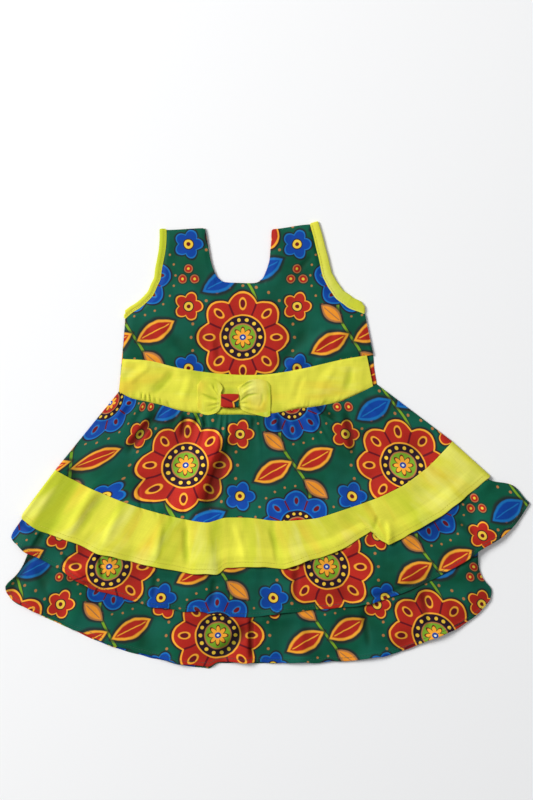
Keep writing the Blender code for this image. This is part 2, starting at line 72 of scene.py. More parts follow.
# ---- Skirt: one row for each rib, from the left side seam to the right ---------------------------
# waist x, y | band seam x, y | upper hem x, y | middle hem x, y | lower hem x, y
RIBS = (
    (-133, 25, -202, -60, -241, -112, -252, -134, -257, -189),
    (-120, 18, -186, -69, -219, -126, -232, -151, -250, -201),
    (-102, 14, -161, -81, -186, -137, -199, -166, -219, -217),
    (-85, 10, -135, -92, -154, -151, -169, -187, -181, -234),
    (-69, 5, -110, -101, -121, -159, -134, -197, -143, -250),
    (-52, 2, -85, -108, -88, -166, -99, -208, -105, -261),
    (-37, 1, -59, -114, -56, -172, -66, -213, -69, -270),
    (-22, 0, -36, -117, -27, -173, -34, -216, -37, -274),
    (-13, 0, -17, -112, -12, -166, -16, -219, -21, -269),
    (5, 0, 10, -112, 23, -165, 12, -220, 12, -270),
    (19, -1, 34, -115, 48, -167, 37, -217, 43, -270),
    (33, 1, 57, -115, 75, -158, 64, -214, 70, -270),
    (49, 4, 84, -112, 108, -147, 102, -210, 102, -269),
    (66, 7, 113, -103, 141, -127, 135, -207, 143, -265),
    (76, 8, 136, -95, 160, -141, 157, -200, 171, -259),
    (88, 10, 154, -88, 184, -129, 184, -191, 201, -247),
    (107, 14, 179, -75, 217, -110, 222, -172, 233, -234),
    (126, 22, 205, -55, 244, -89, 258, -149, 258, -217),
    (148, 33, 230, -29, 272, -67, 315, -96, 271, -202),
)
LAST_RIB = len(RIBS) - 1
RIB_PULL = 0.7  # how round the hems run through the ribs: 1 is a full curve, 0 is straight lines
# rib | ribs it fades over | level | levels it fades over | x | y
SWELLS = (
    (17.5, 0.5, 3.0, 1.0, 4.4, -4.7),
    (18.0, 0.8, 2.5, 0.5, 4.0, 7.0),
)

# Levels down the skirt, counted in the curves of RIBS.
WAIST, BAND_SEAM, UPPER_HEM, MIDDLE_HEM, LOWER_HEM = 0.0, 1.0, 2.0, 3.0, 4.0
LEVEL_LENGTHS = (112.0, 56.0, 48.0, 50.0)  # how long each level is on the cut, from the waist down
LOWER_TOP = 1.85  # the lower tier is sewn inside the middle one, just above the upper hem
BACK_DROP = 0.04  # the lower tier's back hangs this much of a level below its front
SEAM_SHARE = 0.001  # of a level, between a seam and the edge of a panel that meets it

# Level each layer rises from, is whole at, stays whole to, and is gone at, under the ones above it.
OUTER_BACK_COVER = (-2.0, -1.0, 2.08, 2.25)
MIDDLE_COVER = (0.80, 0.92, 3.10, 3.25)
LOWER_COVER = (1.60, 1.78, 5.0, 6.0)
SIDE_DIP = 0.009  # share of the width over which the outer front comes down to the side seam
MIDDLE_INSET, MIDDLE_MARGIN = 0.011, 1 / 54
LOWER_INSET, LOWER_MARGIN = 3 / 54, 3 / 36
LOWER_SIDE = (1 / 54, 2 / 54)  # the middle tier rises over the lower one between these

# rib at the waist, rib at the hem, level it starts at, height at the hem, ribs it spreads left, right
UPPER_FLUTES = (
    (1.6, 1.9, 0.30, 2.4, 0.8, 1.0),
    (3.3, 3.2, 0.10, 3.0, 0.9, 0.8),
    (4.9, 4.8, 0.20, 3.4, 0.8, 0.9),
    (6.6, 6.7, 0.05, 3.6, 1.0, 0.9),
    (8.9, 8.8, 0.15, 2.6, 0.7, 0.8),
    (10.2, 10.4, 0.20, 3.2, 0.8, 0.9),
    (11.9, 11.9, 0.40, 2.2, 0.6, 0.6),
    (13.9, 14.0, 0.90, 3.6, 0.9, 0.8),
    (15.4, 15.5, 0.25, 2.6, 0.7, 0.8),
    (16.8, 16.9, 0.35, 2.4, 0.7, 0.6),
)
MIDDLE_FLUTES = (
    (3.0, 2.6, 2.10, 3.4, 1.0, 0.5),
    (5.0, 5.1, 2.10, 1.8, 0.9, 0.9),
    (7.4, 7.5, 2.10, 2.2, 0.9, 0.9),
    (10.0, 10.1, 2.10, 1.8, 0.9, 0.9),
    (13.0, 13.2, 2.10, 3.2, 1.0, 1.2),
    (16.4, 16.6, 2.10, 2.6, 0.8, 0.7),
)
LOWER_FLUTES = (
    (1.8, 1.6, 3.10, 2.6, 0.8, 0.8),
    (3.8, 3.9, 3.10, 2.0, 0.8, 0.7),
    (5.8, 6.0, 3.10, 3.4, 0.9, 0.8),
    (8.6, 8.7, 3.10, 3.4, 0.8, 0.6),
    (10.6, 10.8, 3.10, 2.4, 0.8, 0.8),
    (12.9, 13.0, 3.10, 2.0, 0.7, 0.8),
    (15.3, 15.4, 3.10, 3.0, 0.8, 0.8),
)
FLUTE_SIDE = 1.2  # ribs from a side seam over which flutes die out
GATHERS = 27  # main puckers along the waist seam
GATHER_HEIGHT = 1.9
GATHER_FADE = (0.03, 0.10, 0.50)  # levels where a pucker starts, is highest, and is gone

# ---- Bodice: one row for each level, from the underarm up to the shoulder ------------------------
# left edge x, y | left of the neck x, y | right of the neck x, y | right edge x, y
BODICE_ROWS = (
    (-126, 105, -22, 106, 20, 107, 136, 104),
    (-123, 108, -22, 110, 20, 110, 133.5, 110.5),
    (-118, 112, -22, 114, 20, 114, 119, 116),
    (-110, 117, -22, 119, 20, 119, 112, 121),
    (-102, 124, -22, 126, 20, 126, 104, 127),
    (-96, 131, -22, 132, 20, 132, 99, 134),
    (-92, 140, -22, 140, 20, 140, 95, 140),
    (-89, 146, -22, 146, 20, 145, 92, 146),
    (-88, 150, -26, 150, 24, 149, 90, 150),
    (-87, 158, -30, 158, 28, 158, 88, 158),
    (-85, 168, -33, 168, 31, 168, 86, 168),
    (-83, 179, -35, 179, 32, 179, 83, 180),
    (-82, 190, -37, 191, 33, 190, 80, 193),
    (-82, 201, -39, 203, 33, 202, 76, 207),
)
NECK_ROW, SHOULDER_ROW = 7, len(BODICE_ROWS) - 1
# x, y at one end | x, y at the other | height | half-width
BODICE_CREASES = (
    (52, 52, 92, 88, 1.6, 9),
    (84, 60, 112, 92, 1.3, 8),
    (-60, 56, -92, 92, 1.2, 10),
    (-30, 62, -34, 104, 0.9, 8),
)

# ---- Waistband: its top edge, left to right, x, y; its lower edge is the waist seam ---------------
BAND_TOP = (
    (-129, 60), (-99, 58), (-66, 50), (-22, 44), (23, 43), (64, 49), (108, 59), (137, 64), (144, 65),
)  # fmt: skip
BAND_END, BAND_WAIST_END = 7, 0.985  # it stops here on BAND_TOP and on the waist seam
# Under the bodice's left edge, the neck's two sides and the bodice's right edge lie these points of
# BAND_TOP, where the front ends, and these ribs of the waist seam, where the back ends.
FRONT_FOOT = (0, 3, 4, 8)
BACK_FOOT = (0, 7, 10, 18)

# ---- Armhole bindings ----------------------------------------------------------------------------
# node | cloth | where its edge's x stands in BODICE_ROWS | side | row of the bodice that it starts from |
# finished width there | and at the shoulder
ARMHOLES = (
    ("left_armhole_binding", "left_binding_cloth", 0, -1, 0, 5.8, 6.4),
    ("right_armhole_binding", "right_binding_cloth", 6, 1, 1, 11.5, 8.4),
)
BINDING_CELL = 1.6
BINDING_DYE = {-1: 1100, 1: 1300}  # where the left and the right one lie on the dyed cloth
BINDING_OVERLAP = 0.9  # how far it lies over the edge that it binds, on the front
BINDING_CROWN = 0.45  # how much it stands up in the middle

# ---- Bow: one row for each section across it, left to right --------------------------------------
# x | lower edge y | upper edge y | underside z of the back layer | underside z of the front layer
ON_BAND = 2 * PITCH
IN_KNOT = ON_BAND + PITCH
BOW_SECTIONS = (
    (-47.0, 4.0, 33.0, ON_BAND, ON_BAND + 0.65),
    (-43.0, 1.0, 38.0, ON_BAND, ON_BAND + 0.8),
    (-36.0, -0.5, 40.0, ON_BAND, ON_BAND + 1.2),
    (-29.0, 1.0, 39.4, ON_BAND, ON_BAND + 1.1),
    (-25.0, 3.4, 35.4, ON_BAND, ON_BAND + 1.2),
    (-22.8, 6.2, 30.0, ON_BAND + 0.3, ON_BAND + 1.6),
    (-21.9, 8.6, 24.0, IN_KNOT - 0.4, IN_KNOT + 1.0),
    (-21.2, 9.3, 20.7, IN_KNOT, IN_KNOT + PITCH),
    (-2.6, 9.3, 20.7, IN_KNOT, IN_KNOT + PITCH),
    (-1.9, 8.4, 25.0, IN_KNOT - 0.4, IN_KNOT + 1.0),
    (-0.6, 7.0, 30.5, ON_BAND + 0.8, ON_BAND + 3.1),
    (3.0, 4.2, 34.0, ON_BAND + 0.5, ON_BAND + 2.7),
    (10.0, 1.6, 37.8, ON_BAND, ON_BAND + 2.0),
    (20.0, -1.0, 38.5, ON_BAND, ON_BAND + 1.3),
    (28.0, -2.8, 36.5, ON_BAND, ON_BAND + 0.85),
    (31.8, -1.0, 32.0, ON_BAND, ON_BAND + 0.65),
)
BOW_OVER_GATHERS = 1.4
KNOT_LEFT, KNOT_RIGHT = -21.6, -2.4
KNOT_LOW, KNOT_HIGH = 7.7, 22.3
KNOT_CORNER = 2.0
KNOT_MIDDLE = ((KNOT_LEFT + KNOT_RIGHT) / 2, (KNOT_LOW + KNOT_HIGH) / 2)

# The frame's place for the datum, from the corner of the bow's knot.
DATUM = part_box("bow_knot")[0] - Vector((KNOT_LEFT * MM, KNOT_LOW * MM, 0))
DATUM.z = 0

# ---- Creases -------------------------------------------------------------------------------------
# One row for each: height (a trough's is below 0) | width to the left of the line, going along it |
# width to its right | the line's points x, y. A crease fades out at both ends of its line.
OUTER_CREASES = (
    (-1.5, 5, 8, (-83, 9), (-100, -12), (-114, -28), (-127, -47)),
    (-0.5, 2.5, 3, (-88, -18), (-97, -27), (-106, -38)),
    (-1.3, 5, 4, (-62, 3), (-62, -8), (-65, -28)),
    (-0.9, 3, 3, (-46, 0), (-50, -12)),
    (-1.1, 4, 3.5, (-41, 0), (-40, -8), (-36, -18)),
    (2.6, 14, 34, (-12, -4), (-26, -36), (-40, -60), (-52, -90), (-60, -125)),
    (-1.5, 14, 9, (-6, -3), (-17, -36), (-27, -60), (-35, -92), (-40, -118)),
    (-0.7, 2.6, 2.2, (-112, -74), (-111, -88), (-106, -112)),
    (-0.6, 2.4, 2.2, (-100, -90), (-94, -102), (-90, -116)),
    (-0.5, 2.6, 2.4, (-78, -88), (-76, -104), (-74, -122)),
    (-0.4, 2.4, 2.4, (-62, -94), (-60, -122)),
    (-1.3, 8, 4, (80, 12), (90, 3), (106, -8)),
    (-1.1, 5, 7, (112, 12), (119, -20), (124, -50)),
    (-0.8, 5, 5, (40, 2), (44, -20)),
    (-0.7, 4, 4, (14, -2), (13, -16)),
    (0.9, 8, 8, (150, -30), (172, -62), (190, -84)),
    (1.2, 8, 3, (158, -112), (160, -128), (160, -143)),
    (-0.6, 3, 4, (149, -108), (147, -118), (142, -127)),
    (-2.1, 17, 15, (-172, -50), (-190, -80), (-212, -116), (-228, -140)),
    (-0.4, 8, 8, (-192, -56), (-214, -86), (-238, -118)),
    (-0.7, 7, 9, (-146, -80), (-162, -106), (-182, -140)),
    (0.9, 9, 9, (-152, -70), (-174, -104), (-192, -136)),
    (0.8, 8, 6, (-128, -98), (-140, -120), (-152, -148)),
    (0.9, 6, 9, (-84, -112), (-90, -140), (-94, -162)),
    (-0.9, 5, 6, (-60, -118), (-60, -140), (-58, -168)),
    (0.8, 6, 6, (-8, -114), (0, -140), (6, -164)),
    (-0.8, 6, 4, (30, -118), (36, -140), (40, -164)),
)  # fmt: skip
MIDDLE_CREASES = (
    (-1.6, 3, 3, (-154, -146), (-153, -160), (-150, -184)),
    (1.6, 4, 4.5, (-186, -166), (-170, -178), (-152, -184)),
    (-1.0, 4, 5, (-196, -150), (-186, -160), (-170, -164)),
    (-0.5, 4, 5, (112, -201), (160, -194), (204, -174)),
    (0.5, 9, 9, (96, -160), (128, -176), (150, -182)),
    (-1.5, 8, 3, (-204, -110), (-216, -128), (-230, -150)),
    (-0.7, 5, 5, (-92, -170), (-96, -204)),
    (-0.8, 7, 5, (-28, -172), (-34, -212)),
    (-0.8, 6, 6, (60, -164), (58, -208)),
    (-0.8, 6, 6, (232, -112), (256, -134)),
    (1.2, 34, 16, (244, -62), (262, -98), (264, -146)),
)
LOWER_CREASES = (
    (-1.9, 4, 4, (11, -214), (11, -240), (11, -272)),
    (-1.3, 12, 10, (-26, -264), (-6, -246), (8, -228)),
    (-0.3, 5, 6, (-228, -160), (-214, -186), (-206, -212)),
    (-1.1, 9, 7, (-214, -130), (-232, -158), (-246, -180), (-256, -196)),
    (-0.25, 9, 7, (-104, -204), (-108, -262)),
    (-0.35, 9, 8, (70, -212), (74, -270)),
    (0.7, 12, 14, (-176, -196), (-190, -232)),
    (-0.4, 10, 14, (-206, -160), (-220, -196), (-226, -212)),
    (-0.8, 5, 6, (132, -206), (140, -258)),
    (-0.8, 6, 5, (196, -186), (204, -240)),
)
BAND_CREASES = (
    (-1.2, 1.3, 1.6, (-109, 11), (-107.5, 26)),
    (-1.3, 1.6, 1.3, (-103.5, 9), (-103, 24)),
    (-1.2, 1.3, 1.6, (-98, 8), (-99, 25)),
    (-1.1, 1.4, 1.4, (-93, 7), (-93.5, 20)),
    (-1.1, 1.6, 1.3, (-86, 5), (-88, 19)),
    (-0.8, 1.4, 1.6, (-78, 4), (-80, 16)),
    (0.9, 9, 6, (-126, 32), (-112, 44), (-96, 56)),
    (-0.8, 8, 6, (-100, 20), (-84, 34), (-72, 50)),
    (0.8, 7, 7, (-66, 14), (-58, 30), (-56, 46)),
    (-0.6, 6, 5, (58, 12), (62, 30), (70, 46)),
    (0.7, 9, 7, (84, 16), (90, 36), (104, 54)),
    (-0.6, 7, 6, (112, 22), (118, 40), (120, 56)),
)
FRONT_CREASES = (
    (-0.5, 9, 8, (34, 46), (54, 70), (78, 100)),
    (-0.7, 7, 7, (70, 50), (88, 68), (104, 86)),
    (-0.35, 12, 10, (-42, 50), (-64, 72), (-88, 102)),
    (-0.6, 5, 5, (-24, 50), (-28, 84)),
    (-0.6, 5, 5, (58, 150), (70, 166), (80, 176)),
)


def smooth(x):
    x = min(max(x, 0.0), 1.0)
    return x * x * (3 - 2 * x)


def ramp(x, start, end):
    return min(max((x - start) / (end - start), 0.0), 1.0)


def mix(a, b, share):
    return a + (b - a) * share


def bump(x):
    """1 at x = 0, falling smoothly to 0 at x = 1 either side."""
    return 0.5 + 0.5 * math.cos(math.pi * x) if abs(x) < 1 else 0.0


def rounded(x):
    """0 at x = 0, rising in a quarter circle to 1 at x = 1."""
    x = min(max(x, 0.0), 1.0)
    return math.sqrt(1 - (1 - x) ** 2)


def wavy(x, y, seed):
    """Smooth unevenness between about -1 and 1."""
    return 1.7 * noise.noise(Vector((x, y, seed)))


def through(points, at, pull=1.0):
    """The point at `at` rows along a smooth curve through the points."""
    k = max(min(int(at), len(points) - 2), 0)
    f = at - k
    before, after = points[max(k - 1, 0)], points[min(k + 2, len(points) - 1)]
    f2, f3 = f * f, f * f * f
    start, leave, end, arrive = 2 * f3 - 3 * f2 + 1, f3 - 2 * f2 + f, 3 * f2 - 2 * f3, f3 - f2
    leave, arrive = leave * pull / 2, arrive * pull / 2
    return [
        q * start + leave * (r - p) + r * end + arrive * (s - q)
        for p, q, r, s in zip(before, points[k], points[k + 1], after)
    ]


def nearest_on(x, y, x0, y0, x1, y1):
    """Share of a straight line's length at its point nearest to x, y, and how far off it is."""
    dx, dy = x1 - x0, y1 - y0
    share = min(max(((x - x0) * dx + (y - y0) * dy) / (dx * dx + dy * dy), 0.0), 1.0)
    return share, math.hypot(x - x0 - share * dx, y - y0 - share * dy)


def crease_height(creases, x, y):
    """What a table of creases adds to the cloth's height at x, y."""
    total = 0.0
    for height, left, right, *points in creases:
        widest = max(left, right)
        nearest, along, on_left = widest, 0.0, False
        for k in range(len(points) - 1):
            (x0, y0), (x1, y1) = points[k], points[k + 1]
            if not min(x0, x1) - widest < x < max(x0, x1) + widest:
                continue
            if not min(y0, y1) - widest < y < max(y0, y1) + widest:
                continue
            share, away = nearest_on(x, y, x0, y0, x1, y1)
            if away < nearest:
                nearest, along = away, (k + share) / (len(points) - 1)
                on_left = (x1 - x0) * (y - y0) - (y1 - y0) * (x - x0) > 0
        if nearest < widest:
            width = left if on_left else right
            total += height * bump(nearest / width) * smooth(along / 0.3) * smooth((1 - along) / 0.3)
    return total


# ---- The skirt's plan and layers, as in the solids -------------------------------------------------


@functools.lru_cache(maxsize=None)
def rib_row(s):
    rib = s * LAST_RIB
    row = through(RIBS, rib, RIB_PULL)
    tucked = smooth((rib - 12.0) / 0.8) * smooth((14.9 - rib) / 0.8)
    if tucked:  # the band's hem turns sharply at its tuck
        sharp = through(RIBS, rib, 0.15)
        row[4:6] = mix(row[4], sharp[4], tucked), mix(row[5], sharp[5], tucked)
    return row


def skirt_plan(s, level):
    """x, y at share s of the width, from the left side seam, and at a level down the skirt."""
    row = rib_row(s)
    k = min(int(level), 3)
    f = level - k
    x, y = mix(row[2 * k], row[2 * k + 2], f), mix(row[2 * k + 1], row[2 * k + 3], f)
    for rib, ribs, centre, levels, out_x, out_y in SWELLS:
        share = bump((s * LAST_RIB - rib) / ribs) * bump((level - centre) / levels)
        x, y = x + out_x * share, y + out_y * share
    return x, y


@functools.lru_cache(maxsize=None)
def level_length(s, k):
    """How long the skirt is at share s between the levels k and k + 1."""
    return math.dist(skirt_plan(s, k), skirt_plan(s, k + 1))


def cover(limits, level):
    rise, whole, still, gone = limits
    return ramp(level, rise, whole) * (1 - ramp(level, still, gone))


def middle_cover(s, level):
    return cover(MIDDLE_COVER, level) * ramp(min(s, 1 - s), 0, SIDE_DIP)


def lower_cover(s, level):
    return cover(LOWER_COVER, level) * ramp(min(s, 1 - s), *LOWER_SIDE)


def flutes(table, last_level, s, level):
    """Height that the flutes of a table add."""
    rib = s * LAST_RIB
    total = 0.0
    for top, hem, start, height, left, right in table:
        centre = mix(top, hem, level / last_level)
        x = (rib - centre) / (left if rib < centre else right)
        if -1 < x < 1:
            total = max(total, height * bump(x) * smooth((level - start) / (last_level - start)))
    return total * smooth(min(rib, LAST_RIB - rib) / FLUTE_SIDE)


def gathers(s, level):
    """Height of the puckers below the waist seam, uneven from one to the next."""
    first, peak, last = GATHER_FADE
    last += 0.22 * wavy(9 * s, 0, 4)
    down = mix(0.4, 1.0, smooth((level - first) / (peak - first)))
    down *= 1 - smooth((level - peak) / (last - peak))
    uneven = 0.62 + 0.25 * math.sin(19.0 * s + 0.7) + 0.13 * math.sin(47.0 * s)
    spaced = s + 0.010 * wavy(14 * s, 0, 7)
    pucker = 0.5 - 0.5 * math.cos(2 * math.pi * GATHERS * spaced)
    return GATHER_HEIGHT * uneven * pucker * down * smooth(min(s, 1 - s) / 0.03)


def outer_back_height(s, level):
    return 0.0


def middle_back_height(s, level):
    return PITCH * cover(OUTER_BACK_COVER, level)


def lower_back_height(s, level):
    return PITCH * (cover(OUTER_BACK_COVER, level) + middle_cover(s, level))


def lower_rest(s, level):
    """Height of the lower tier's front where no flute raises it."""
    return lower_back_height(s, level) + PITCH


def middle_rest(s, level):
    return PITCH * (cover(OUTER_BACK_COVER, level) + 1 + 2 * lower_cover(s, level))


def outer_rest(s, level):
    return PITCH * (1 + 2 * middle_cover(s, level) + 2 * lower_cover(s, level))


def lower_front_height(s, level):
    return lower_rest(s, level) + flutes(LOWER_FLUTES, LOWER_HEM, s, level)


def middle_front_height(s, level):
    return middle_rest(s, level) + flutes(MIDDLE_FLUTES, MIDDLE_HEM, s, level)


def outer_front_height(s, level):
    return outer_rest(s, level) + max(flutes(UPPER_FLUTES, UPPER_HEM, s, level), gathers(s, level))


def no_inset(level):
    return 0.0


def middle_inset(level):
    return MIDDLE_INSET * (1 - ramp(level, UPPER_HEM, MIDDLE_HEM))


def lower_inset(level):
    return LOWER_INSET * (1 - ramp(level, MIDDLE_HEM, LOWER_HEM) ** 2.5)


def share_across(column, inset, margin):
    """Share of the skirt's width where a column of an inset panel lies."""
    from_side = min(column, 1 - column)
    if from_side < margin:
        from_side = mix(inset, margin, from_side / margin)
    return from_side if column < 0.5 else 1 - from_side


# ---- Finer relief ----------------------------------------------------------------------------------

LOOSE = 2.0  # how far a front stands off the cloth under it
CREASING = 2.0  # how deep its creases are, as a share of the heights in their tables


def crumple(x, y, seed):
    """Low, soft unevenness of cloth that has been worn and laid out."""
    return 0.34 * wavy(x / 34, y / 34, seed) + 0.16 * wavy(x / 13, y / 13, seed + 9)


def seam_puckers(s, level, seam, above, below, count, seed):
    """Small puckers that run out from a seam, over these levels above and below it."""
    away = (seam - level) / above if level < seam else (level - seam) / below
    reach = 0.75 + 0.35 * wavy(count * s / 3, 0, seed + 5)
    return wavy(count * s, 0.6 * away, seed) * (1 - smooth(away / reach)) if away < reach else 0.0


def loose(s, from_hem):
    """How far a front stands off what is under it: not at its side seams, and little at a hem."""
    return LOOSE * smooth(min(s, 1 - s) / 0.07) * mix(0.35, 1, smooth(from_hem / 22))


def outer_relief(s, level, x, y):
    total = CREASING * crease_height(OUTER_CREASES, x, y) + 1.5 * crumple(x, y, 1)
    total += 0.60 * seam_puckers(s, level, WAIST, 1.0, 0.28, 62, 20)
    total += 0.60 * seam_puckers(s, level, BAND_SEAM, 0.20, 0.75, 44, 30)
    return total + loose(s, LEVEL_LENGTHS[1] * (UPPER_HEM - level))


def covered_relief(creases, seed, hem, puckers, pucker_seed):
    """relief(s, level, x, y) of a tier that comes out from under a hem one level up."""
    above = hem - 1

    def relief(s, level, x, y):
        total = CREASING * crease_height(creases, x, y) + 1.3 * crumple(x, y, seed)
        total += loose(s, LEVEL_LENGTHS[int(above)] * (hem - level))
        total += 0.5 * seam_puckers(s, level, above, 1.0, 1.0, puckers, pucker_seed)
        return total * smooth((level - above + 0.1) / 0.2)

    return relief


middle_relief = covered_relief(MIDDLE_CREASES, 2, MIDDLE_HEM, 34, 40)
lower_relief = covered_relief(LOWER_CREASES, 3, LOWER_HEM, 30, 50)


def back_relief(s, level, x, y):
    """Hollows in an underside that otherwise rests flat."""
    return 0.55 * smooth(1.6 * abs(wavy(x / 40, y / 26, 60)) + 0.7 * wavy(x / 11, y / 30, 61) - 0.25)


# ---- Building --------------------------------------------------------------------------------------

SHARP_FROM = 55.0  # degrees between two faces from which their shared edge is a sharp one


def sewn_thickness(from_hem, hem, stitch_in, from_edge):
    """Thickness of cloth this far from a hem and from its nearest edge."""
    thick = mix(CLOTH, HEM_FOLD, 1 - smooth((from_hem - hem) / HEM_STEP))
    thick -= STITCH_GROOVE * bump((from_hem - stitch_in) / GROOVE_WIDTH)
    return thick * mix(EDGE_THIN, 1, rounded(min(from_hem, from_edge) / EDGE_ROUND))


def add(name, data):
    """A new object in the scene."""
    thing = bpy.data.objects.new(name, data)
    bpy.context.scene.collection.objects.link(thing)
    return thing


def finish(name, bm, material):
    """A closed bmesh, in millimetres from the datum, made into a named piece in the frame."""
    bmesh.ops.recalc_face_normals(bm, faces=bm.faces)
    bmesh.ops.scale(bm, vec=(MM, MM, MM), verts=bm.verts)
    bmesh.ops.translate(bm, vec=DATUM, verts=bm.verts)
    mesh = bpy.data.meshes.new(name)
    bm.to_mesh(mesh)
    bm.free()
    mesh.shade_smooth()
    mesh.set_sharp_from_angle(angle=math.radians(SHARP_FROM))
    mesh.materials.append(material)
    piece = add(name, mesh)
    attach(piece, "root")
    return piece


def lay_uvs(bm):
    """UV map, in metres on the cut cloth, from the two values at each vertex, which are dropped."""
    kept = bm.verts.layers.float
    cut_x, cut_y = kept["cut_x"], kept["cut_y"]
    uvs = bm.loops.layers.uv.new("cut")
    for face in bm.faces:
        for loop in face.loops:
            loop[uvs].uv = loop.vert[cut_x] * MM, loop.vert[cut_y] * MM
    for name in ("cut_x", "cut_y"):
        kept.remove(kept[name])


def shell(name, columns, rows, place, material, without=None):
    """A thin closed sheet of cloth.

    place(column, row) gives the underside's x, y, z, the thickness, x, y on the cut cloth, and how
    far a crease lifts the cloth, from -1 to 1, which is kept as painted shade: hollows are painted
    darker and ridges paler. without(column, row) is true for the cells that are cut away.
    """
    bm = bmesh.new()
    names = ("thickness", "cut_x", "cut_y", "fold_shade")
    thickness, cut_x, cut_y, fold_shade = (bm.verts.layers.float.new(n) for n in names)
    bmesh.ops.create_grid(bm, x_segments=len(columns) - 1, y_segments=len(rows) - 1, size=0.5)
    for k, vert in enumerate(bm.verts):
        x, y, z, thick, u, v, given_fold_shade = place(columns[k % len(columns)], rows[k // len(columns)])
        vert.co = x, y, z
        vert[thickness], vert[cut_x], vert[cut_y] = thick, u, v
        vert[fold_shade] = min(max(given_fold_shade, -1), 1)
    if without:
        across = len(columns) - 1
        cut = [f for k, f in enumerate(bm.faces) if without(columns[k % across], rows[k // across])]
        bmesh.ops.delete(bm, geom=cut, context="FACES")
    raised = bmesh.ops.extrude_face_region(bm, geom=bm.faces[:])["geom"]
    for vert in raised:
        if isinstance(vert, bmesh.types.BMVert):
            vert.co.z += vert[thickness]
    lay_uvs(bm)
    bm.verts.layers.float.remove(bm.verts.layers.float["thickness"])
    return finish(name, bm, material)


def closed_tube(name, sections, material, lay):
    """A ring of cloth: a closed run of sections, each a closed run of points.

    lay(section, point) gives x, y on the cut cloth, and how far a crease lifts it, from -1 to 1,
    which is kept as painted shade of its folds.
    """
    columns, rows = len(sections[0]) + 1, len(sections) + 1
    bm = bmesh.new()
    cut_x, cut_y, fold_shade = (bm.verts.layers.float.new(n) for n in ("cut_x", "cut_y", "fold_shade"))
    bmesh.ops.create_grid(bm, x_segments=columns - 1, y_segments=rows - 1, size=0.5)
    for k, vert in enumerate(bm.verts):
        point, section = k % columns, k // columns
        vert.co = sections[section % len(sections)][point % len(sections[0])]
        vert[cut_x], vert[cut_y], given_fold_shade = lay(section, point)
        vert[fold_shade] = min(max(given_fold_shade, -1), 1)
    lay_uvs(bm)
    bmesh.ops.remove_doubles(bm, verts=bm.verts, dist=0.001)
    return finish(name, bm, material)


EDGE_STEPS = (0.0, 0.3, 0.7, 1.2)  # rows and columns this far from an edge
HEM_STEPS = (2.0, 2.9, 3.4, 3.9, 4.4, 4.9, 5.3, 5.7, 6.2, 6.8, 7.6)


def graded(length, cell, first, last):
    """Shares of a length, in even cells but for the distances given from its first and last end."""
    count = max(round((length - first[-1] - last[-1]) / cell), 1)
    inner = [mix(first[-1], length - last[-1], k / count) for k in range(1, count)]
    return [d / length for d in (*first, *inner, *(length - d for d in reversed(last)))]


# ---- Materials -------------------------------------------------------------------------------------


class Worked:
    """A number that a shader works out: arithmetic on it adds Math nodes to its tree."""

    def __init__(self, tree, socket):
        self.tree, self.socket = tree, socket

    def math(self, operation, *others, clamp=False):
        return worked(self.tree, operation, self, *others, clamp=clamp)

    def __add__(self, other):
        return self.math("ADD", other)

    def __sub__(self, other):
        return self.math("SUBTRACT", other)

    def __rsub__(self, other):
        return worked(self.tree, "SUBTRACT", other, self)

    def __mul__(self, other):
        return self.math("MULTIPLY", other)

    def __abs__(self):
        return self.math("ABSOLUTE")

    def wrap(self, half):
        """Repeated from -half to half."""
        return self.math("WRAP", half, -half)

    def below(self, edge, soft):
        """1 where it is less than an edge, 0 where it is more, softly between."""
        if isinstance(edge, Worked):
            return ((edge - self) * (1 / soft)).math("ADD", 0.5, clamp=True)
        return self.math("MULTIPLY_ADD", -1 / soft, edge / soft + 0.5, clamp=True)


def worked(tree, operation, *values, clamp=False):
    node = tree.nodes.new("ShaderNodeMath")
    node.operation, node.use_clamp = operation, clamp
    for slot, value in zip(node.inputs, values):
        if isinstance(value, Worked):
            tree.links.new(value.socket, slot)
        else:
            slot.default_value = value
    return Worked(tree, node.outputs[0])


def blend(tree, below, above, mask):
    """Colour `above` laid over `below` where the mask is 1. A colour is a socket or three numbers."""
    node = tree.nodes.new("ShaderNodeMix")
    node.data_type, node.clamp_factor = "RGBA", True
    for slot, value in ((node.inputs[6], below), (node.inputs[7], above)):
        if isinstance(value, tuple):
            slot.default_value = (*value, 1)
        else:
            tree.links.new(value, slot)
    if isinstance(mask, Worked):
        tree.links.new(mask.socket, node.inputs[0])
    else:
        node.inputs[0].default_value = mask
    return node.outputs[2]


def new_material(name, roughness, specular=0.5):
    """A material, its tree and its shader."""
    material = bpy.data.materials.new(name)
    material.use_nodes = True
    shader = material.node_tree.nodes["Principled BSDF"]
    shader.inputs["Roughness"].default_value = roughness
    shader.inputs["Specular IOR Level"].default_value = specular
    return material, material.node_tree, shader


def group(name, inputs, outputs):
    """A shader node group: its tree, the sockets of its inputs by name, and its output node."""
    tree = bpy.data.node_groups.new(name, "ShaderNodeTree")
    for label, kind, value in inputs:
        socket = tree.interface.new_socket(label, in_out="INPUT", socket_type="NodeSocket" + kind)
        if value is not None:
            socket.default_value = value
    for label, kind in outputs:
        tree.interface.new_socket(label, in_out="OUTPUT", socket_type="NodeSocket" + kind)
    given = tree.nodes.new("NodeGroupInput")
    return tree, given.outputs, tree.nodes.new("NodeGroupOutput").inputs


def coordinates(tree, place):
    """x and y, in millimetres, of a place on the cut cloth in metres."""
    parts = tree.nodes.new("ShaderNodeSeparateXYZ")
    tree.links.new(place, parts.inputs[0])
    return Worked(tree, parts.outputs[0]) * 1000, Worked(tree, parts.outputs[1]) * 1000


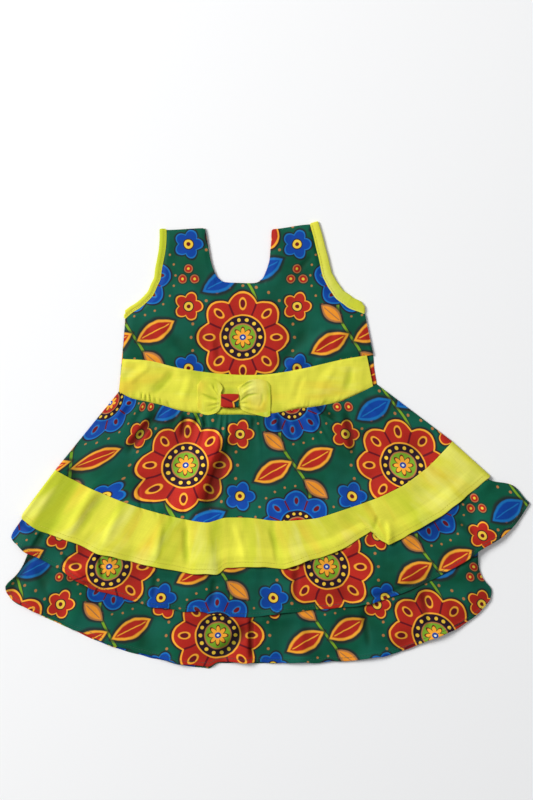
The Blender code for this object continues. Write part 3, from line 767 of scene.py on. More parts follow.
def noise_of(tree, place, scale, detail=2.0, stretch=None):
    """Noise between 0 and 1; scale is in waves a metre, and stretch multiplies x and y."""
    if stretch:
        mapping = tree.nodes.new("ShaderNodeMapping")
        mapping.inputs["Scale"].default_value = (*stretch, 1)
        tree.links.new(place, mapping.inputs["Vector"])
        place = mapping.outputs[0]
    node = tree.nodes.new("ShaderNodeTexNoise")
    node.inputs["Scale"].default_value = scale
    node.inputs["Detail"].default_value = detail
    tree.links.new(place, node.inputs["Vector"])
    return Worked(tree, node.outputs["Fac"])


GREEN = (0.0030, 0.095, 0.050)
DEEP_GREEN = (0.0010, 0.063, 0.029)
TEAL = (0.0060, 0.106, 0.072)
RED = (0.420, 0.019, 0.011)
MAROON = (0.130, 0.005, 0.012)
DARK = (0.020, 0.006, 0.018)
BLUE = (0.003, 0.052, 0.310)
LIGHT_BLUE = (0.008, 0.150, 0.440)
ORANGE = (0.840, 0.290, 0.024)
GOLD = (0.880, 0.380, 0.030)
OCHRE = (0.420, 0.170, 0.055)
YELLOW = (0.800, 0.520, 0.045)
LEAF_GREEN = (0.180, 0.360, 0.020)
WHITE = (0.700, 0.720, 0.700)

REPEAT_X, REPEAT_Y = 118.0, 135.0  # between two columns of flowers, and two flowers of a column
DROP = REPEAT_Y / 2  # how far each column lies below the one before it
RED_FLOWER, BLUE_FLOWER = 1.16, 0.92  # sizes of the flowers in the even and the odd columns
BLOSSOM = 1.1  # size of the small blossoms
STEM_SWAY = 15.0  # how far a stem winds to either side
SOFT = 0.5  # how soft a printed edge is


def leaf(x, y, base_x, base_y, degrees, length, half_width):
    """A leaf from its base, leaning this much from upright: below 1 inside it, and its middle line."""
    angle = math.radians(90 - degrees)
    cos, sin = math.cos(angle), math.sin(angle)
    along = x.math("MULTIPLY_ADD", cos, y.math("MULTIPLY_ADD", sin, -base_x * cos - base_y * sin))
    across = x.math("MULTIPLY_ADD", -sin, y.math("MULTIPLY_ADD", cos, base_x * sin - base_y * cos))
    run = along.math("MULTIPLY_ADD", 2 / length, -1.0)
    return abs(across).math("MULTIPLY_ADD", 1 / half_width, run * run), abs(across)


def print_of_the_cloth():
    """Node group: the colours of the wax print at a place on the cut cloth, in metres.

    Winding stems carry large flowers, a column of red and a column of blue by turns, with leaves;
    small blossoms and berries lie between the columns.
    """
    tree, given, made = group(
        "wax print", [("Place", "Vector", None)], [("Color", "Color"), ("Dye", "Float")]
    )
    wobble = noise_of(tree, given["Place"], 90, 1.0) - 0.5
    raw_x, raw_y = coordinates(tree, given["Place"])
    raw_x, raw_y = raw_x + wobble * 1.6, raw_y - wobble * 1.6
    mottle = noise_of(tree, given["Place"], 38, 3.0)

    column = (raw_x * (1 / REPEAT_X)).math("ROUND")
    odd = abs((column * 0.5).wrap(0.5)).math("GREATER_THAN", 0.25)
    x = raw_x.wrap(REPEAT_X / 2)
    along = column * DROP + raw_y
    y, gap_y = along.wrap(REPEAT_Y / 2), (along + REPEAT_Y / 2).wrap(REPEAT_Y / 2)

    colour = blend(tree, DEEP_GREEN, GREEN, mottle.math("MULTIPLY_ADD", 2.4, -0.6, clamp=True))
    cloud = noise_of(tree, given["Place"], 17, 2.0)
    colour = blend(tree, colour, TEAL, cloud.math("MULTIPLY_ADD", 3.0, -1.25, clamp=True))

    def lay(above, mask):
        nonlocal colour
        colour = blend(tree, colour, above, mask)

    def printed_leaf(side_x, base_x, base_y, degrees, length, half_width, fill, line, hidden=0.0):
        """A leaf in the gap between two flowers, except in the columns where `hidden` is above 0."""
        inside, across = leaf(side_x, gap_y, base_x, base_y, degrees, length, half_width)
        inside = inside + hidden
        lay(DARK, inside.below(1.36, 0.3) * 0.75)
        lay(line, inside.below(1.0, 0.14))
        lay(fill, inside.below(0.72, 0.14))
        lay(line, across.below(0.6, SOFT) * inside.below(0.55, 0.1))

    def blossom(dx, dy, warm):
        """Five plain petals round a yellow middle."""
        reach = (dx * dx + dy * dy).math("SQRT") * (1 / BLOSSOM)
        angle = dy.math("ARCTAN2", dx)
        rim = reach - abs((angle * 2.5).math("COSINE")).math("MULTIPLY_ADD", 4.6, 9.2)
        lay(DARK, rim.below(2.6, 1.6) * 0.8)
        lay(blend(tree, LIGHT_BLUE, GOLD, warm), rim.below(0.8, SOFT))
        lay(blend(tree, BLUE, RED, warm), rim.below(-0.6, SOFT))
        lay(DARK, reach.below(5.4, SOFT))
        lay(YELLOW, reach.below(4.4, SOFT))
        lay(MAROON, reach.below(2.0, SOFT))

    # The large flower's own coordinates: how far out, which way, and how far round from a petal's middle.
    size = odd.math("MULTIPLY_ADD", BLUE_FLOWER - RED_FLOWER, RED_FLOWER)
    flower_x, flower_y = x.math("DIVIDE", size), y.math("DIVIDE", size)
    reach = (flower_x * flower_x + flower_y * flower_y).math("SQRT")
    angle = flower_y.math("ARCTAN2", flower_x)
    lobes = abs((angle * 4).math("COSINE"))

    def beads(radius, count, fill, size, soft):
        """A ring of round dots round the flower's middle; size is the square of a dot's radius."""
        along, out = angle.wrap(math.pi / count) * reach, reach - radius
        lay(fill, (along * along + out * out).below(size, soft))

    beads(48.5, 24, OCHRE, 1.9, 0.9)

    # A winding stem through each column, and its leaves.
    bend = (y * (2 * math.pi / REPEAT_Y)).math("SINE") * STEM_SWAY
    stem = abs(x - bend)
    lay(DARK, stem.below(2.7, 1.2) * 0.75)
    lay(LEAF_GREEN, stem.below(1.6, SOFT))
    long_fill, long_line = blend(tree, BLUE, RED, odd), blend(tree, LIGHT_BLUE, GOLD, odd)
    in_red_columns = (1 - odd) * 9
    other_x = x * -1
    printed_leaf(x, 3, -4, 62, 46, 10.5, long_fill, long_line)
    printed_leaf(other_x, 3, 4, 118, 46, 10.5, long_fill, long_line)
    printed_leaf(other_x, 10, 16, 50, 30, 7.5, ORANGE, OCHRE, in_red_columns)
    printed_leaf(x, 10, -16, 130, 30, 7.5, ORANGE, OCHRE, in_red_columns)

    # Small blossoms and berries between the columns.
    edge_x = (raw_x - REPEAT_X / 2).wrap(REPEAT_X / 2)
    edge_y = raw_y - DROP / 2
    turn = (edge_y * (1 / DROP)).math("ROUND")
    warm = abs((turn * 0.5).wrap(0.5)).below(0.25, 0.1)
    blossom(edge_x, edge_y.wrap(DROP / 2), warm)
    berry_y = (raw_y - DROP).wrap(REPEAT_Y / 2)
    for berry_x, up in ((0.0, 7.0), (6.6, -4.0)):
        dx, dy = abs(edge_x) - berry_x, berry_y - up
        berry = (dx * dx + dy * dy).math("SQRT")
        lay(DARK, berry.below(5.8, 1.4) * 0.8)
        lay(OCHRE, berry.below(4.8, SOFT))
        lay(RED, berry.below(3.8, SOFT))
        lay(YELLOW, berry.below(1.5, SOFT))

    # The large flower: eight petals, each with a drop in it, round a beaded ring and a small star.
    petal = blend(tree, RED, BLUE, odd)
    outline = blend(tree, GOLD, LIGHT_BLUE, odd)
    rim = reach - lobes.math("MULTIPLY_ADD", 8.0, 34.0)
    lobe = abs(angle.wrap(math.pi / 8))
    lay(DARK, rim.below(3.2, 2.2))
    lay(outline, rim.below(1.3, SOFT))
    lay(petal, rim.below(-0.6, SOFT))
    lay(MAROON, ((math.pi / 8 - lobe) * reach).below(0.9, SOFT) * rim.below(-0.6, SOFT))
    drop_x, drop_y = lobe * reach * (1 / 3.6), (reach - 31.5) * (1 / 6.0)
    drop = (drop_x * drop_x + drop_y * drop_y).math("SQRT")
    lay(outline, drop.below(1.0, 0.14))
    lay(MAROON, drop.below(0.66, 0.14))
    lay(outline, reach.below(21.6, SOFT))
    lay(DARK, reach.below(20.2, SOFT))
    beads(16.6, 14, YELLOW, 3.0, 1.0)
    lay(OCHRE, reach.below(13.0, SOFT))
    lay(blend(tree, LEAF_GREEN, RED, odd), reach.below(11.8, SOFT))
    star = reach - lobes * 4.5
    lay(MAROON, star.below(5.6, SOFT))
    lay(GOLD, star.below(4.2, SOFT))
    lay(BLUE, reach.below(3.0, SOFT))
    lay(WHITE, reach.below(1.2, SOFT))

    tree.links.new(colour, made["Color"])
    tree.links.new(mottle.socket, made["Dye"])
    return tree


def weave_of_the_cloth():
    """Node group: height and shade of a plain weave at a place on the cut cloth, in metres."""
    tree, given, made = group(
        "plain weave",
        [("Place", "Vector", None), ("Thread", "Float", 0.45)],
        [("Height", "Float"), ("Shade", "Float")],
    )
    x, y = coordinates(tree, given["Place"])
    thread = Worked(tree, given["Thread"])
    warp = (x.math("DIVIDE", thread) * math.pi).math("SINE")
    weft = (y.math("DIVIDE", thread) * math.pi).math("SINE")
    along = noise_of(tree, given["Place"], 900, 1.0, (1.0, 0.06))
    across = noise_of(tree, given["Place"], 900, 1.0, (0.06, 1.0))
    slubs = along + across - 1.0
    height = warp * weft * 0.5 + slubs * 0.8
    tree.links.new(height.socket, made["Height"])
    shade = slubs.math("MULTIPLY_ADD", 0.12, 1.0)
    tree.links.new(shade.socket, made["Shade"])
    return tree


def cloth_material(name, roughness, fold_shade_strength, thread=0.45):
    """A material on the cut's UV map: its tree, the shader, the place, its shade and its fold shade.

    Its shade is the weave's tone times painted shade of the folds: hollows darker, ridges paler.
    """
    material, tree, shader = new_material(name, roughness, 0.10)
    shader.inputs["Sheen Weight"].default_value = 0.01
    shader.inputs["Sheen Roughness"].default_value = 0.5
    uv = tree.nodes.new("ShaderNodeUVMap")
    uv.uv_map = "cut"
    weave = tree.nodes.new("ShaderNodeGroup")
    weave.node_tree = WEAVE
    weave.inputs["Thread"].default_value = thread
    tree.links.new(uv.outputs[0], weave.inputs["Place"])
    relief = tree.nodes.new("ShaderNodeBump")
    relief.inputs["Strength"].default_value = 0.5
    relief.inputs["Distance"].default_value = 0.00012
    tree.links.new(weave.outputs["Height"], relief.inputs["Height"])
    tree.links.new(relief.outputs[0], shader.inputs["Normal"])
    fold_shade = tree.nodes.new("ShaderNodeAttribute")
    fold_shade.attribute_name = "fold_shade"
    fold_shade = Worked(tree, fold_shade.outputs["Fac"])
    fold_shade_scale = fold_shade.math("MULTIPLY_ADD", fold_shade_strength, 1.0)  # painted shade of the folds: hollows painted darker, ridges painted paler
    return material, tree, shader, uv.outputs[0], Worked(tree, weave.outputs["Shade"]) * fold_shade_scale, fold_shade


def shaded(tree, colour, shade):
    """A colour made lighter or darker."""
    node = tree.nodes.new("ShaderNodeVectorMath")
    node.operation = "SCALE"
    tree.links.new(colour, node.inputs[0])
    tree.links.new(shade.socket, node.inputs["Scale"])
    return node.outputs[0]


def print_material(name):
    material, tree, shader, place, shade, fold_shade = cloth_material(name, 0.6, 0.30)
    dyed = tree.nodes.new("ShaderNodeGroup")
    dyed.node_tree = PRINT
    tree.links.new(place, dyed.inputs["Place"])
    hollow_shade = tree.nodes.new("ShaderNodeMix")  # painted shade: the folds' hollows painted darker and less blue
    hollow_shade.data_type, hollow_shade.blend_type = "RGBA", "MULTIPLY"
    tree.links.new(fold_shade.math("MULTIPLY", -0.9, clamp=True).socket, hollow_shade.inputs[0])
    tree.links.new(dyed.outputs["Color"], hollow_shade.inputs[6])
    hollow_shade.inputs[7].default_value = (0.50, 0.62, 0.40, 1)
    tree.links.new(shaded(tree, hollow_shade.outputs[2], shade), shader.inputs["Base Color"])
    rough = Worked(tree, dyed.outputs["Dye"]).math("MULTIPLY_ADD", 0.3, 0.45)
    tree.links.new(rough.socket, shader.inputs["Roughness"])
    return material


LIME = (0.715, 0.685, 0.060)
# GREENER_LIME is a dye patch colour and also the painted shade in the folds' hollows
GREENER_LIME = (0.460, 0.540, 0.022)
GOLDEN_LIME = (0.740, 0.510, 0.040)
PALE_LIME = (0.800, 0.780, 0.190)


def yellow_material(name, streaks):
    """Lime cotton, unevenly dyed; streaks is how many times longer its streaks are than wide."""
    material, tree, shader, place, shade, fold_shade = cloth_material(name, 0.72, 0.14, 0.5)
    long = 1.0 / streaks

    def patches(scale, detail, stretch, gain, start):
        """Where soft patches of another shade lie."""
        return noise_of(tree, place, scale, detail, stretch).math("MULTIPLY_ADD", gain, start, clamp=True)

    colour = blend(tree, LIME, GOLDEN_LIME, patches(38, 2.0, (1.0, long), 5.0, -2.6) * 0.8)
    colour = blend(tree, colour, GREENER_LIME, patches(25, 2.5, (-1.0, long), 5.0, -2.35) * 0.8)
    colour = blend(tree, colour, PALE_LIME, patches(42, 3.0, (1.0, -long), 4.5, -2.4) * 0.8)
    # painted shade: the folds' hollows painted greener and darker
    colour = blend(tree, colour, GREENER_LIME, fold_shade.math("MULTIPLY", -0.8, clamp=True))
    tree.links.new(shaded(tree, colour, shade), shader.inputs["Base Color"])
    return material


def thread_material(name, colour):
    """Sewing thread, with its twist."""
    material, tree, shader = new_material(name, 0.55)
    place = tree.nodes.new("ShaderNodeTexCoord").outputs["Object"]
    twist = noise_of(tree, place, 2600, 1.0)
    dark = tuple(0.7 * part for part in colour)
    tree.links.new(blend(tree, dark, colour, twist), shader.inputs["Base Color"])
    return material


WEAVE = weave_of_the_cloth()
PRINT = print_of_the_cloth()
WAX_PRINT = print_material("wax print cotton")
LIME_COTTON = yellow_material("lime cotton", 4.0)
YELLOW_THREAD = thread_material("yellow thread", (0.66, 0.60, 0.045))
GREEN_THREAD = thread_material("green thread", (0.010, 0.100, 0.060))


# ---- Skirt panels ----------------------------------------------------------------------------------

UPPER_CUT, BAND_CUT, MIDDLE_CUT, LOWER_CUT = 500.0, 520.0, 560.0, 561.0  # the panels' cut widths
FAN = 0.0009  # how much the print fans out, for each mm down a panel


def cut_down(level):
    """How far down the cut a level lies."""
    k = min(int(level), 3)
    return sum(LEVEL_LENGTHS[:k]) + (level - k) * LEVEL_LENGTHS[k]


def clear_of_below(relief, raised):
    """Relief that never sinks into the cloth under it, where the solid's flutes raise it this much."""
    deepest = -0.45 - raised
    over = relief - deepest
    return relief if over > 0.6 else deepest + 0.6 * math.exp(over / 0.6 - 1)


NO_HEM = (-50.0, -50.0)
CORNERS = (9.0, 2.5)  # radius of a hem's corners at the left and right side seams
WOBBLE = 0.9  # how much a hem strays from an even line
BAND_SKEW = 0.42  # how far askew the left of the band is cut, for each mm down it


def round_corner(radius, from_side, from_hem):
    """Where a point this far from a panel's side and its hem lies once the corner is rounded."""
    if max(from_side, from_hem) >= radius:
        return from_side, from_hem
    x, y = radius - from_side, radius - from_hem
    share = max(x, y) / max(math.hypot(x, y), 0.01)
    return radius - x * share, radius - y * share


def tier_surface(levels, inset, margin, height, resting, relief, hem, cut, back, drop=0.0):
    """place(column, share of the way down) for a panel of the skirt, as shell() takes it."""
    first, last = levels
    hem_depth, stitch_in = hem
    cut_width, cut_x, cut_y = cut

    def place(column, share):
        level = mix(first, last, share)
        from_side = min(column, 1 - column) * cut_width
        hem_length = level_length(column, math.ceil(last) - 1)
        from_hem = (last - level) * hem_length
        from_top = (level - first) * level_length(column, int(first))
        s = share_across(column, inset(level), margin)
        lower = level + drop * ramp(level, MIDDLE_HEM, LOWER_HEM) * bump(2.5 * (s - 0.3))
        if hem != NO_HEM:
            side, up = round_corner(CORNERS[column > 0.5], from_side, from_hem)
            s += math.copysign(side - from_side, 0.5 - column) / cut_width
            lower -= (up - from_hem) / hem_length
            stray = WOBBLE * wavy(s * 34, cut_x, 15) * bump(min(from_hem / 22, 1))
            lower += stray * smooth(from_side / 20) / hem_length
        x, y = skirt_plan(s, lower)
        thick = sewn_thickness(from_hem, hem_depth, stitch_in, min(from_side, from_top))
        z = height(s, level)
        fold_shade = 0.0
        fade = smooth(from_side / 9)
        if back:
            z += relief(s, level, x, y) * fade * smooth((from_hem - hem_depth) / 6)
            z += STITCH_GROOVE * bump((from_hem - stitch_in) / GROOVE_WIDTH)
        else:
            raised = z - resting(s, level)
            moved = relief(s, level, x, y)
            # painted shade of the folds, from the relief and the flutes: hollows darker, ridges paler
            fold_shade = ((moved - loose(s, from_hem)) / 2.0 + 0.16 * raised - 0.08) * smooth(from_side / 3)
            z += (WALL - thick) / 2 + clear_of_below(moved, raised) * fade
            z -= 0.5 * (1 - smooth(from_side / 2.5))
        if cut_width != BAND_CUT:  # the print runs nearly straight up the panel, but for its left side
            fan = x * (1 + FAN * (y - cut_y))
            if cut_width == UPPER_CUT:
                fan -= (0.55 * (y + 20) + 12) * smooth((-60 - x) / 100)
            return x, y, z, thick, cut_x + fan, y - cut_y, fold_shade
        skew = BAND_SKEW * (cut_down(lower) - 140) * smooth((0.62 - s) / 0.35)
        return x, y, z, thick, cut_x + (s - 0.5) * cut_width + skew, cut_y - cut_down(lower), fold_shade

    return place


def make_tier(name, surface, levels, cell, width, material):
    length = cut_down(levels[1]) - cut_down(levels[0])
    columns = graded(width, cell, EDGE_STEPS, EDGE_STEPS)
    rows = graded(length, cell, EDGE_STEPS, EDGE_STEPS + HEM_STEPS)
    return shell(name, columns, rows, surface, material)


BAND_HEMS, TIER_HEMS = (BAND_HEM, BAND_STITCH_IN), (TIER_HEM, TIER_STITCH_IN)
upper_levels = (WAIST + SEAM_SHARE, BAND_SEAM - SEAM_SHARE)
band_levels = (BAND_SEAM + SEAM_SHARE, UPPER_HEM)
middle_levels = (BAND_SEAM + SEAM_SHARE, MIDDLE_HEM)
lower_levels = (LOWER_TOP, LOWER_HEM)
outer, middle, lower = (no_inset, SIDE_DIP), (middle_inset, MIDDLE_MARGIN), (lower_inset, LOWER_MARGIN)
# node | levels | inset | margin | height | relief | hem | cut width, its place x, y on the print or the
# dyed cloth | whether it is a back | cloth
TIERS = (
    ("upper_tier_front", upper_levels, *outer, outer_front_height, outer_relief, NO_HEM,
     (UPPER_CUT, 60, -55), False, WAX_PRINT),
    ("upper_tier_back", upper_levels, *outer, outer_back_height, back_relief, NO_HEM,
     (UPPER_CUT, 60, -60), True, WAX_PRINT),
    ("hem_band_front", band_levels, *outer, outer_front_height, outer_relief, BAND_HEMS,
     (BAND_CUT, 0, 0), False, LIME_COTTON),
    ("hem_band_back", band_levels, *outer, outer_back_height, back_relief, BAND_HEMS,
     (BAND_CUT, 900, 0), True, LIME_COTTON),
    ("middle_tier_front", middle_levels, *middle, middle_front_height, middle_relief, TIER_HEMS,
     (MIDDLE_CUT, 143, -165), False, WAX_PRINT),
    ("middle_tier_back", middle_levels, *middle, middle_back_height, back_relief, TIER_HEMS,
     (MIDDLE_CUT, 100, -150), True, WAX_PRINT),
    ("lower_tier_front", lower_levels, *lower, lower_front_height, lower_relief, TIER_HEMS,
     (LOWER_CUT, 25, -240), False, WAX_PRINT),
    ("lower_tier_back", lower_levels, *lower, lower_back_height, back_relief, TIER_HEMS,
     (LOWER_CUT, -40, -220), True, WAX_PRINT),
)  # fmt: skip

RESTS = {"upper_tier_front": outer_rest, "hem_band_front": outer_rest}
RESTS |= {"middle_tier_front": middle_rest, "lower_tier_front": lower_rest}
surfaces, made = {}, {}
for node, levels, inset, margin, height, relief, hem, cut, back, cloth in TIERS:
    drop = BACK_DROP if node == "lower_tier_back" else 0.0
    resting = RESTS.get(node, height)
    surfaces[node] = tier_surface(levels, inset, margin, height, resting, relief, hem, cut, back, drop)
    cell = BACK_CELL if back else FRONT_CELL
    made[node] = make_tier(node + "_cloth", surfaces[node], levels, cell, cut[0], cloth)


# ---- Bodice ----------------------------------------------------------------------------------------

ROW_HEIGHT = 7.8  # between two rows of the bodice, about
FOOT_HEIGHT = 45  # from the bodice's lower edge to the underarm, about
CHEST_PART, STRAP_PART = 90, 52  # width beside the neck, at the chest and at a strap, about
SIDE_COLUMNS, NECK_COLUMNS = 95, 42  # widths that the mesh's columns beside and under the neck share
NECK_SAG = 2.2  # how much the neck's lower edge sags
SHOULDER_CORNER = 3.5  # radius of the corner between the neck and a shoulder


def bodice_plan(back, across, row):
    """x, y at `across` (0 left edge, 1 and 2 the neck's two sides, 3 right edge) and a row.

    Rows below the underarm run from -1, the bodice's lower edge, to 0.
    """
    part = min(int(across), 2)
    f = across - part
    x0, y0, x1, y1 = through(BODICE_ROWS, max(row, 0))[2 * part : 2 * part + 4]
    x, y = mix(x0, x1, f), mix(y0, y1, smooth(f))
    if row < 0:
        if back:
            low_x, low_y = skirt_plan(mix(*BACK_FOOT[part : part + 2], f) / LAST_RIB, WAIST)
        else:
            low_x, low_y = through(BAND_TOP, mix(*FRONT_FOOT[part : part + 2], f))
        x, y = mix(x, low_x, -row), mix(y, low_y, -row)
        if back:
            x += 1.7 * bump((y - 70) / 22) * smooth(across - 2)
    if part == 1:
        y -= NECK_SAG * (1 - (2 * f - 1) ** 6) * bump((row - NECK_ROW) / 3)
        return x, y
    from_neck = min(abs(across - 1), abs(across - 2)) * 50
    from_top = (SHOULDER_ROW - row) * ROW_HEIGHT
    side, down = round_corner(SHOULDER_CORNER, from_neck, from_top)
    return x + math.copysign(side - from_neck, across - 1.5), y - (down - from_top)


def solid_creases(x, y):
    """Height of the creases that the bodice's solid has."""
    total = 0.0
    for x0, y0, x1, y1, height, half_width in BODICE_CREASES:
        share, away = nearest_on(x, y, x0, y0, x1, y1)
        total = max(total, height * bump(away / half_width))
    return total


BODICE_CUT = (-2.0, -84.0)  # where the cut's middle lies on the print
BACK_CUT = (-5.6, -38.0)


def bodice_surface(back):
    """place(across, row) for the front or the back of the bodice, as shell() takes it."""

    def place(across, row):
        x, y = bodice_plan(back, across, row)
        from_side = min(across, 3 - across) * CHEST_PART
        from_top = (SHOULDER_ROW - row) * ROW_HEIGHT
        from_foot = (row + 1) * FOOT_HEIGHT
        from_neck = 100.0
        if row >= NECK_ROW:
            from_neck = (1 - across if across <= 1 else across - 2) * STRAP_PART
            if 1 < across < 2:
                from_neck = (row - NECK_ROW) * ROW_HEIGHT
        elif 0.9 < across < 2.1:
            from_neck = (NECK_ROW - row) * ROW_HEIGHT
        thick = sewn_thickness(from_neck, NECK_HEM, -50, min(from_side, from_top, from_foot))
        fade = smooth(from_side / 9) * smooth(min(from_top, from_foot) / 5) * smooth(from_neck / 9)
        fold_shade = 0.0
        if back:
            z = back_relief(0, 0, x, y) * fade
            cut_x, cut_y = BACK_CUT
        else:
            relief = 1.8 * crease_height(FRONT_CREASES, x, y) + 1.4 * crumple(x, y, 5)
            # painted shade of the creases: hollows darker, ridges paler
            fold_shade = (relief / 2.0 + 0.2 * solid_creases(x, y)) * fade
            relief = clear_of_below(relief + 0.8 * LOOSE, solid_creases(x, y))
            z = PITCH + (WALL - thick) / 2 + solid_creases(x, y) + relief * fade
            z -= 0.6 * (1 - smooth(from_top / 3))
            cut_x, cut_y = BODICE_CUT
        return x, y, z, thick, cut_x + x, cut_y + y, fold_shade

    return place


def make_bodice(name, back, cell):
    strap = graded(SIDE_COLUMNS, cell, EDGE_STEPS, EDGE_STEPS + (3.0, 5.2, 6.4, 7.6))
    columns = strap[:-1]
    columns += [1 + share for share in graded(NECK_COLUMNS, cell, (0.0, 1.0), (0.0, 1.0))]
    columns += [2 + (1 - share) for share in reversed(strap)][1:]
    steps = max(round(ROW_HEIGHT / cell), 2)
    rows = [share - 1 for share in graded(FOOT_HEIGHT, cell, EDGE_STEPS, (0.0,))]
    rows += [k / steps for k in range(1, SHOULDER_ROW * steps)]
    rows += [SHOULDER_ROW - d / ROW_HEIGHT for d in reversed(EDGE_STEPS)]

    def in_neck(across, row):
        return 1 <= across < 2 and row >= NECK_ROW - 1e-6

    return shell(name, columns, rows, bodice_surface(back), WAX_PRINT, in_neck)


made["bodice_front"] = make_bodice("bodice_front_cloth", False, FRONT_CELL)
made["bodice_back"] = make_bodice("bodice_back_cloth", True, BACK_CELL)


# ---- Waistband -------------------------------------------------------------------------------------

WAISTBAND_CUT = (270.0, 50.0)
WAISTBAND_DYE = (600, 300)  # where its middle lies on the dyed cloth
UNDER_BOW = (-41.0, 27.0, 5.0, 34.0)  # where the bow presses the waistband down: x from, to, y from, to


def pressed(x, y):
    """How much the bow presses the waistband down, from 0 to 1."""
    left, right, low, high = UNDER_BOW
    inside = min(x - left, right - x, y - low, high - y)
    return smooth(inside / 6 + 0.6)


def waistband_place(column, share):
    top_x, top_y = through(BAND_TOP, column * BAND_END)
    low_x, low_y = skirt_plan(column * BAND_WAIST_END, WAIST)
    x, y = mix(low_x, top_x, share), mix(low_y, top_y + 0.4, share)
    height = math.dist((low_x, low_y), (top_x, top_y))
    from_edge = min(share, 1 - share) * height
    from_end = min(column, 1 - column) * WAISTBAND_CUT[0]
    thick = sewn_thickness(100, 0, -50, min(from_edge, from_end))
    fade = smooth(from_end / 8)
    pull = 0.45 * seam_puckers(column, -share, WAIST, 0.35, 1.0, 60, 70)
    pull += 0.35 * seam_puckers(column, share, 1.0, 0.4, 1.0, 40, 75)
    relief = 1.4 * crease_height(BAND_CREASES, x, y) + 1.9 * crumple(x * 1.3, y, 6) + pull
    free = 1 - pressed(x, y)
    z = PITCH + (WALL - thick) / 2 + 0.6 * smooth(share * height / 6) * mix(0.4, 1, free)
    z += (max(relief, -1.0) * free + mix(0, 0.7, free)) * fade * smooth(from_edge / 2)
    # painted shade: a dark patch above the knot, between the bow's loops, with no dent under it; the
    # returned value also paints the folds' shade
    shade_between_loops = bump(math.hypot((x - KNOT_MIDDLE[0]) / 11, (y - 25) / 8))
    dye_x, dye_y = WAISTBAND_DYE
    return x, y, z, thick, dye_x + y, dye_y + x, relief * fade * free / 1.6 - 0.8 * shade_between_loops


band_columns = graded(WAISTBAND_CUT[0], 1.1, EDGE_STEPS, EDGE_STEPS)
band_rows = graded(WAISTBAND_CUT[1], 1.3, EDGE_STEPS, EDGE_STEPS)
made["waistband"] = shell("waistband_cloth", band_columns, band_rows, waistband_place, LIME_COTTON)


# ---- Armhole bindings ------------------------------------------------------------------------------


def binding_line(first, row):
    """The bodice's armhole edge, from row to shoulder, in short steps."""
    count = round((SHOULDER_ROW - row) * ROW_HEIGHT / BINDING_CELL)
    rows = [mix(row, SHOULDER_ROW, k / count) for k in range(count + 1)]
    return [Vector((*through(BODICE_ROWS, r)[first : first + 2], 0)) for r in rows]


def out_of(along, side):
    """The way out of an armhole, square to its edge."""
    return Vector((side * along.y, -side * along.x, 0)).normalized()


def armhole_binding(name, first, side, row, widths):
    """A strip bound round an armhole: up the front's edge, over the shoulder and down the back's."""
    front_z, back_z = PITCH + WALL / 2, WALL / 2
    middle_z, radius = (front_z + back_z) / 2, (front_z - back_z) / 2
    points = binding_line(first, row)
    last = len(points) - 1
    near_start = last * 2 / (SHOULDER_ROW - row)  # steps in the first two rows of the bodice
    acrosses = []
    for k in range(last + 1):
        along = points[min(k + 1, last)] - points[max(k - 1, 0)]
        outward = out_of(along, side)
        across = Vector((0, 1, 0)).lerp(outward, min(k / near_start, 1)).normalized()
        acrosses.append(across / max(across @ outward, 0.8))
    strip_widths = [mix(*widths, k / last) for k in range(last + 1)]
    for k in range(5):  # its lower end is rounded
        strip_widths[k] *= mix(0.62, 1, rounded(k / 4.5))
    half = WALL / 2

    def section(k, z, angle, lean, overlap):
        """Points round the strip at edge point k, its face turned by an angle towards lean."""
        front = 0.5 + 0.5 * math.cos(angle)  # the back lies flat
        up = Vector((0, 0, math.cos(angle))) + lean * math.sin(angle)
        base = points[k] + Vector((0, 0, z)) + lean * radius * math.sin(angle)
        width = strip_widths[k] + GAP
        crown = BINDING_CROWN * (1 + 0.35 * wavy(k * 0.35, 0, 80 + side)) * front

        def point(out, height):
            return base + acrosses[k] * out + up * height

        return [
            point(0.2, -half + 0.15),
            point(0.5 * width, -half),
            point(width - 0.5, -half + 0.05),
            point(width, -0.1),
            point(width - 0.25, 0.45),
            point(width - 1.1, half + 0.5 * crown),
            point(0.62 * width, half + crown),
            point(0.34 * width, half + 0.85 * crown),
            point(1.9, half + 0.15 * front),
            point(0.5, half + 0.3 * front),
            point(-overlap, half + 0.12 * front),
            point(-overlap, half - 0.28),
            point(0.1, half - 0.25),
        ]

    over_shoulder = -out_of(acrosses[-1], side)
    turns = 6
    steps = [math.pi * k / turns for k in range(1, turns)]
    still = Vector((0, 0, 0))
    inner = -0.1  # on the back the strip only meets the edge
    sections = [section(k, front_z, 0.0, still, BINDING_OVERLAP) for k in range(last + 1)]
    for angle in steps:
        sections.append(section(last, middle_z + radius * math.cos(angle), angle, over_shoulder, inner))
    sections += [section(k, back_z, math.pi, still, inner) for k in range(last, -1, -1)]
    outward = Vector((side, 0, 0))
    for angle in reversed(steps):
        sections.append(section(0, middle_z + radius * math.cos(angle), angle, outward, inner))

    def lay(at, point):
        return BINDING_DYE[side] + point * 1.5, at * BINDING_CELL, 0.0

    return closed_tube(name, sections, LIME_COTTON, lay)


for node, cloth, first, side, row, *widths in ARMHOLES:
    made[node] = armhole_binding(cloth, first, side, row, widths)


# ---- Bow -------------------------------------------------------------------------------------------

